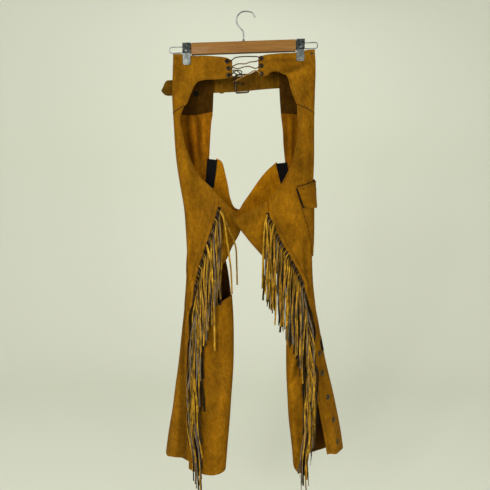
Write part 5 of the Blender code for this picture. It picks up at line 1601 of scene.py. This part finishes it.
def build_lacing(mats):
    centres, ways = {}, {}
    for (side, number), (x, z) in EYELETS.items():
        centres[side, number], ways[side, number] = back_spot(side, x, z, 0.15)
    keys = list(EYELETS)
    studded("chaps_eyelets", [centres[k] for k in keys], [ways[k] for k in keys],
            turned_ring("eyelet", EYELET_PROFILE, 28), mats["buckle"],
            [f"eyelet_{side}_{number}" for side, number in keys])
    # Near-black discs in the eyelets: the painted shade seen through them.
    studded("chaps_eyelet_holes", [centres[k] for k in keys], [ways[k] for k in keys],
            turned_piece("eyelet_hole", ((3.9, 0.0), (3.9, 0.6))), mats["hole"])
    for name, ends, mat, route in LACE_ROUTES:
        first, last = (centres[end] if end else None for end in ends)
        points = []
        if first is not None:
            points += [(first[0], first[1] + 0.5, first[2]), (first[0] + 1.5, first[1] - 2.9, first[2])]
        base = centres["left", 2][1]
        points += [(x, base + out, z) for x, out, z in route]
        if last is not None:
            points += [(last[0] - 1.5, last[1] - 2.9, last[2]), (last[0], last[1] + 0.5, last[2])]
        nodes = [name] if name in ("lace_1", "lace_2", "lace_3", "lace_knot") else ()
        attach(tube(f"chaps_{name}", points, LACE, mats[mat], 90, 4), nodes)


# Hanger

def extruded(name, outline, x_from, x_to, mats, slope=0.0, steps=1):
    """Closed outline of (y, z) drawn out along X."""
    n = len(outline)
    verts = []
    for k in range(steps + 1):
        x = mix(x_from, x_to, k / steps)
        verts += [(x, y, z + slope * (x - (x_from + x_to) / 2)) for y, z in outline]
    faces = [tuple(range(n)), tuple(range(steps * n + n - 1, steps * n - 1, -1))]
    for r in range(steps):
        for k in range(n):
            nxt = (k + 1) % n
            faces.append((r * n + k, (r + 1) * n + k, (r + 1) * n + nxt, r * n + nxt))
    return new_object(name, verts, faces, mats, smooth_shade=False)


def build_hanger(mats):
    half = BAR_THICKNESS / 2
    top, foot = HANGER_Z + BAR_HEIGHT / 2 + 2.0, HANGER_Z - BAR_HEIGHT / 2
    bar = extruded("hanger_wooden_bar", ((-half, foot), (half, foot), (half, top), (-half, top)),
                   HANGER_X - BAR_HALF_LENGTH, HANGER_X + BAR_HALF_LENGTH, [mats["wood"]], HANGER_SLOPE)
    bar = soften(bar, 1.3, 3)
    bar.data.shade_smooth()
    attach(bar, ["hanger_bar"])
    stem = top + 0.35
    hook = [(21.5, 0, -12.5), (15.5, 0, -2.0), (6.5, 0, 0.9), (0, 0, HOOK_WIRE / 2), (-9.5, 0, 0.2),
            (-18.0, 0, -6.0), (-22.5, 0, -16.0), (-21.0, 0, -27.0), (-14.5, 0, -36.0), (-8.0, 0, -43.0),
            (HANGER_X, 0, -52.0), (HANGER_X, 0, stem)]
    hook_piece = tube("hook_wire", hook, HOOK_WIRE, mats["wire"], 100, 5)
    collar = turned_piece("hook_collar", ((4.6, 0.0), (4.8, 0.6), (4.4, 1.4), (2.4, 2.0), (2.2, 5.0), (1.7, 5.6)))
    collar.data.materials.append(mats["wire"])
    collar.data.transform(Matrix.Translation(Vector((HANGER_X, 0, stem - 0.3)) * MM))
    attach(joined("hanger_hook_wire", [hook_piece, collar]), ["hanger_hook"])
    for side, sign in (("left", -1), ("right", 1)):
        inner = HANGER_X + sign * (BAR_HALF_LENGTH + 0.4)
        reach = HANGER_X + sign * BAIL_REACH
        corner = BAIL_HALF_HEIGHT * 0.55
        bail = []
        for x, dz in ((inner, BAIL_HALF_HEIGHT), (mix(inner, reach, 0.5), BAIL_HALF_HEIGHT),
                      (reach - sign * corner * 1.6, BAIL_HALF_HEIGHT), (reach - sign * corner * 0.35, corner * 1.35),
                      (reach, 0), (reach - sign * corner * 0.35, -corner * 1.35),
                      (reach - sign * corner * 1.6, -BAIL_HALF_HEIGHT), (mix(inner, reach, 0.5), -BAIL_HALF_HEIGHT),
                      (inner, -BAIL_HALF_HEIGHT)):
            bail.append((x, 0, hanger_z(x) + dz))
        attach(tube(f"hanger_bail_{side}", bail, BAIL_WIRE, mats["wire"], 90, 5), [f"bail_{side}"])
        build_clip(side, HANGER_X + sign * CLIP_REACH, mats)


def build_clip(side, x, mats):
    """Steel jaws with a rolled foot, the dark ribbed grip over their top and a small rivet."""
    z = hanger_z(x)
    gap, plate = CLIP_HALF_GAP, CLIP_PLATE
    top, foot = z + CLIP_TOP, z + CLIP_FOOT
    jaws = []
    for sign in (-1, 1):
        rows, cols = 30, 13
        v = np.linspace(0, 1, rows)[:, None]
        u = np.linspace(-1, 1, cols)[None]
        height = mix(top - 1.0, foot, v) + 0 * u
        half = CLIP_WIDTH / 2 * (0.94 + 0.10 * smooth((v - 0.35) * 2.2))
        half = half * np.where(v > 0.9, np.sqrt(np.clip(1 - ((v - 0.9) / 0.13) ** 2, 0.2, 1)), 1.0)
        across = u * half
        out = gap + plate + 0.5 * np.exp(-((v - 0.97) / 0.05) ** 2) + 0.35 * (1 - u * u)
        y = sign * (out + 0 * across)
        outer = np.stack((x + across, y, height + HANGER_SLOPE * across), axis=-1)
        inner = outer - np.array((0, sign * plate, 0))
        jaws.append(shell(f"jaw_{sign}", outer, inner, (mats["steel"], mats["steel"])))
    bridge = extruded("jaw_bridge", ((-gap - plate, top - 3.0), (gap + plate, top - 3.0), (gap + plate, top - 0.8),
                                     (gap, top), (-gap, top), (-gap - plate, top - 0.8)),
                      x - CLIP_WIDTH * 0.47, x + CLIP_WIDTH * 0.47, [mats["steel"]], HANGER_SLOPE)
    attach(joined(f"hanger_clip_{side}", jaws + [bridge]), [f"clip_{side}"])
    inner = gap + plate + 0.75
    outer = inner + 1.7
    shape = ((-inner, z + GRIP_FOOT), (-inner, top + 0.4), (inner, top + 0.4), (inner, z + GRIP_FOOT),
             (outer, z + GRIP_FOOT), (outer, top + 1.6), (outer - 1.2, top + 2.8), (-outer + 1.2, top + 2.8),
             (-outer, top + 1.6), (-outer, z + GRIP_FOOT))
    cover = soften(extruded("grip_cover", shape, x - CLIP_WIDTH / 2 - 0.8, x + CLIP_WIDTH / 2 + 0.8, [mats["grip"]],
                            HANGER_SLOPE), 0.35, 2)
    ribs = []
    for k in range(6):
        across = mix(-7.8, 7.8, k / 5)
        for sign in (-1, 1):
            ribs.append(((x + across, sign * (outer + 0.1), z + GRIP_FOOT + 9.5 + HANGER_SLOPE * across),
                         (x + across, sign * (outer + 0.1), top + 1.0 + HANGER_SLOPE * across)))
    bars = [tube(f"rib_{n}", (a, tuple(mix(p, q, 0.5) for p, q in zip(a, b)), b), 1.5, mats["grip"], 8, 3)
            for n, (a, b) in enumerate(ribs)]
    heads = []
    for sign in (-1, 1):
        head = turned_piece("clip_rivet", ((2.6, 0.0), (2.4, 0.8), (1.2, 1.2)), 20)
        head.data.materials.append(mats["steel"])
        head.data.transform(Matrix.Translation(Vector((x, sign * outer, z + GRIP_FOOT + 4.5)) * MM)
                            @ Matrix.Rotation(math.pi / 2 * (1 if sign < 0 else -1), 4, "X"))
        heads.append(head)
    attach(joined(f"hanger_grip_{side}", [cover] + bars + heads), [f"clip_grip_{side}"])


# Stage

def build_stage(settings):
    floor_z = settings.floor_height
    verts, faces = [], []
    profile = [(-4.0, floor_z), (1.2, floor_z)]
    for k in range(1, 13):
        angle = math.pi / 2 * k / 12
        profile.append((1.2 + 1.2 * math.sin(angle), floor_z + 1.2 * (1 - math.cos(angle))))
    profile.append((2.4, 4.0))
    for y, z in profile:
        verts += [(-6.0, y, z), (6.0, y, z)]
    for k in range(len(profile) - 1):
        faces.append((2 * k, 2 * k + 1, 2 * k + 3, 2 * k + 2))
    mesh = bpy.data.meshes.new("stage_floor")
    mesh.from_pydata(verts, [], faces)
    mesh.shade_smooth()
    mat, tree, look = surface_material("stage_pale", 0.9, specular=0.1)
    look["Base Color"].default_value = (0.70, 0.71, 0.595, 1.0)
    mesh.materials.append(mat)
    floor = bpy.data.objects.new("stage_floor", mesh)
    bpy.context.scene.collection.objects.link(floor)
    lights = (("key", (-1.5, -3.0, 0.35), settings.key_power, 1.3), ("fill", (1.9, -3.0, -0.2), settings.fill_power, 1.8),
              ("back", (0.2, 1.3, 1.6), settings.back_power, 1.6))
    for name, place, power, size in lights:
        data = bpy.data.lights.new(f"stage_{name}", "AREA")
        data.energy = power
        data.size = size
        lamp = bpy.data.objects.new(f"stage_{name}", data)
        lamp.location = place
        lamp.rotation_euler = (Vector((0, 0, -0.55)) - Vector(place)).to_track_quat("-Z", "Y").to_euler()
        bpy.context.scene.collection.objects.link(lamp)
    world = bpy.data.worlds.new("stage_world")
    world.use_nodes = True
    world.node_tree.nodes["Background"].inputs["Color"].default_value = (0.93, 0.95, 0.90, 1.0)
    world.node_tree.nodes["Background"].inputs["Strength"].default_value = settings.world_strength
    bpy.context.scene.world = world
    camera_data = bpy.data.cameras.new("camera")
    camera_data.sensor_width = 36.0
    camera_data.lens = 18.0 / math.tan(math.atan(0.5))
    camera = bpy.data.objects.new("camera", camera_data)
    camera.location = (-0.0025, -settings.camera_distance, settings.camera_height)
    camera.rotation_euler = (math.pi / 2 - settings.camera_pitch, 0.0, 0.0)
    bpy.context.scene.collection.objects.link(camera)
    bpy.context.scene.camera = camera
    bpy.context.scene.view_settings.view_transform = "Standard"


NODE_TREES = {}
MATS = {}


def prepare():
    """Makes the materials and node trees once, whichever operator runs first."""
    if not MATS:
        MATS.update(make_materials())
        NODE_TREES.update({"stitch": stitch_tree(), "strand": strand_tree(), "stud": stud_tree()})


def need(*names):
    """Stops with an error unless the named pieces are in the scene."""
    missing = [name for name in names if name not in bpy.data.objects]
    if missing:
        raise RuntimeError(f"not built: {', '.join(missing)}")


# Settings

class ChapsStitching(bpy.types.PropertyGroup):
    step: bpy.props.FloatProperty(name="Stitch spacing", description="From one stitch to the next, in millimetres",
                                  default=4.2, min=1.0)
    length: bpy.props.FloatProperty(name="Stitch length", description="Length of one stitch, in millimetres",
                                    default=3.0, min=0.5)
    thickness: bpy.props.FloatProperty(name="Thread thickness", description="Thickness of a stitch, in millimetres",
                                       default=0.9, min=0.2)


class ChapsFringe(bpy.types.PropertyGroup):
    thigh_left: bpy.props.IntProperty(name="Left thigh strands", description="Strands from the left thigh's seam",
                                      default=72, min=1)
    shin_left: bpy.props.IntProperty(name="Left shin strands", description="Strands from the left shin's seam",
                                     default=76, min=1)
    thigh_right: bpy.props.IntProperty(name="Right thigh strands", description="Strands from the right thigh's seam",
                                       default=86, min=1)
    shin_right: bpy.props.IntProperty(name="Right shin strands", description="Strands from the right shin's seam",
                                      default=76, min=1)
    half_width: bpy.props.FloatProperty(name="Half width", description="Half of a strand's width, in millimetres",
                                        default=1.75, min=0.5)
    flatness: bpy.props.FloatProperty(name="Flatness", description="Strand thickness as a share of its half width",
                                      default=0.5, min=0.05, subtype="FACTOR")


class ChapsStage(bpy.types.PropertyGroup):
    camera_distance: bpy.props.FloatProperty(name="Camera distance", description="From the hanger to the camera",
                                             default=1.22, unit="LENGTH")
    camera_height: bpy.props.FloatProperty(name="Camera height", description="Height against the hook's inside top",
                                           default=-0.4137, unit="LENGTH")
    camera_pitch: bpy.props.FloatProperty(name="Camera pitch", description="How far the camera looks down",
                                          default=math.radians(6.7), subtype="ANGLE")
    floor_height: bpy.props.FloatProperty(name="Floor height", description="Height of the floor",
                                          default=-1.45, unit="LENGTH")
    key_power: bpy.props.FloatProperty(name="Key light", description="Power of the large light at the left",
                                       default=85.0, min=0.0, unit="POWER")
    fill_power: bpy.props.FloatProperty(name="Fill light", description="Power of the light at the right",
                                        default=47.0, min=0.0, unit="POWER")
    back_power: bpy.props.FloatProperty(name="Back light", description="Power of the light behind",
                                        default=14.0, min=0.0, unit="POWER")
    world_strength: bpy.props.FloatProperty(name="Surrounding light", description="Strength of the pale surroundings",
                                            default=0.55, min=0.0)


def stitch_size(stitching):
    return (stitching.thickness / 2, stitching.thickness / 2, stitching.length / 2)


# Operators

class CHAPS_OT_hides(bpy.types.Operator):
    """Build the yokes, leg hides, inner pieces and gussets with their stitching"""
    bl_idname = "chaps.hides"
    bl_label = "Hides"

    def execute(self, context):
        prepare()
        stitching = context.scene.chaps_stitching
        build_hides(MATS, stitching.step, stitch_size(stitching))
        need("chaps_yoke_left", "chaps_leg_outer_right", "panel_stitches_brown")
        return {"FINISHED"}


class CHAPS_OT_pocket(bpy.types.Operator):
    """Build the thigh pocket and its flap"""
    bl_idname = "chaps.pocket"
    bl_label = "Pocket"

    def execute(self, context):
        prepare()
        stitching = context.scene.chaps_stitching
        build_pocket(MATS, stitching.step, stitch_size(stitching))
        need("chaps_pocket_patch", "chaps_pocket_flap")
        return {"FINISHED"}


class CHAPS_OT_fringe(bpy.types.Operator):
    """Build the four fringes with their welts"""
    bl_idname = "chaps.fringe"
    bl_label = "Fringe"

    def execute(self, context):
        prepare()
        fringe = context.scene.chaps_fringe
        counts = {"thigh": {"left": fringe.thigh_left, "right": fringe.thigh_right},
                  "shin": {"left": fringe.shin_left, "right": fringe.shin_right}}
        build_fringes(MATS, counts, fringe.half_width, fringe.flatness)
        need("fringe_thigh_left_strands", "fringe_shin_right_strands")
        return {"FINISHED"}


class CHAPS_OT_belt(bpy.types.Operator):
    """Build the front belt with its buckle and keeper"""
    bl_idname = "chaps.belt"
    bl_label = "Belt"

    def execute(self, context):
        prepare()
        stitching = context.scene.chaps_stitching
        build_belt(MATS, stitching.step, stitch_size(stitching))
        need("chaps_belt_billet", "chaps_buckle_frame")
        return {"FINISHED"}


class CHAPS_OT_trim(bpy.types.Operator):
    """Build the snaps, rivet, eyelets and lacing"""
    bl_idname = "chaps.trim"
    bl_label = "Snaps and lacing"

    def execute(self, context):
        prepare()
        build_studs(MATS)
        build_opening_stop(MATS)
        build_lacing(MATS)
        need("chaps_snaps", "chaps_eyelets", "chaps_lace_1")
        return {"FINISHED"}


class CHAPS_OT_hanger(bpy.types.Operator):
    """Build the wooden hanger with its hook, wire loops and clips"""
    bl_idname = "chaps.hanger"
    bl_label = "Hanger"

    def execute(self, context):
        prepare()
        build_hanger(MATS)
        need("hanger_wooden_bar", "hanger_hook_wire", "hanger_clip_left")
        return {"FINISHED"}


class CHAPS_OT_stage(bpy.types.Operator):
    """Set the floor, lights, surroundings and camera"""
    bl_idname = "chaps.stage"
    bl_label = "Stage"

    def execute(self, context):
        build_stage(context.scene.chaps_stage)
        need("stage_floor", "camera")
        return {"FINISHED"}


class CHAPS_PT_panel(bpy.types.Panel):
    """Settings and build steps for the chaps"""
    bl_idname = "CHAPS_PT_panel"
    bl_label = "Chaps"
    bl_space_type = "VIEW_3D"
    bl_region_type = "UI"
    bl_category = "Chaps"

    def draw(self, context):
        scene = context.scene
        for group in (scene.chaps_stitching, scene.chaps_fringe, scene.chaps_stage):
            box = self.layout.box()
            for name in group.__annotations__:
                box.prop(group, name)
        for step in STEPS:
            self.layout.operator(step.bl_idname)


SETTINGS = (("chaps_stitching", ChapsStitching), ("chaps_fringe", ChapsFringe), ("chaps_stage", ChapsStage))
STEPS = (CHAPS_OT_hides, CHAPS_OT_pocket, CHAPS_OT_fringe, CHAPS_OT_belt, CHAPS_OT_trim, CHAPS_OT_hanger,
         CHAPS_OT_stage)


def register():
    for name, group in SETTINGS:
        bpy.utils.register_class(group)
        setattr(bpy.types.Scene, name, bpy.props.PointerProperty(type=group))
    for step in STEPS:
        bpy.utils.register_class(step)
    bpy.utils.register_class(CHAPS_PT_panel)


def unregister():
    bpy.utils.unregister_class(CHAPS_PT_panel)
    for step in reversed(STEPS):
        bpy.utils.unregister_class(step)
    for name, group in reversed(SETTINGS):
        delattr(bpy.types.Scene, name)
        bpy.utils.unregister_class(group)


def main():
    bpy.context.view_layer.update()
    register()
    bpy.ops.chaps.hides()
    bpy.ops.chaps.pocket()
    bpy.ops.chaps.fringe()
    bpy.ops.chaps.belt()
    bpy.ops.chaps.trim()
    bpy.ops.chaps.hanger()
    bpy.ops.chaps.stage()


if __name__ == "__main__":
    main()
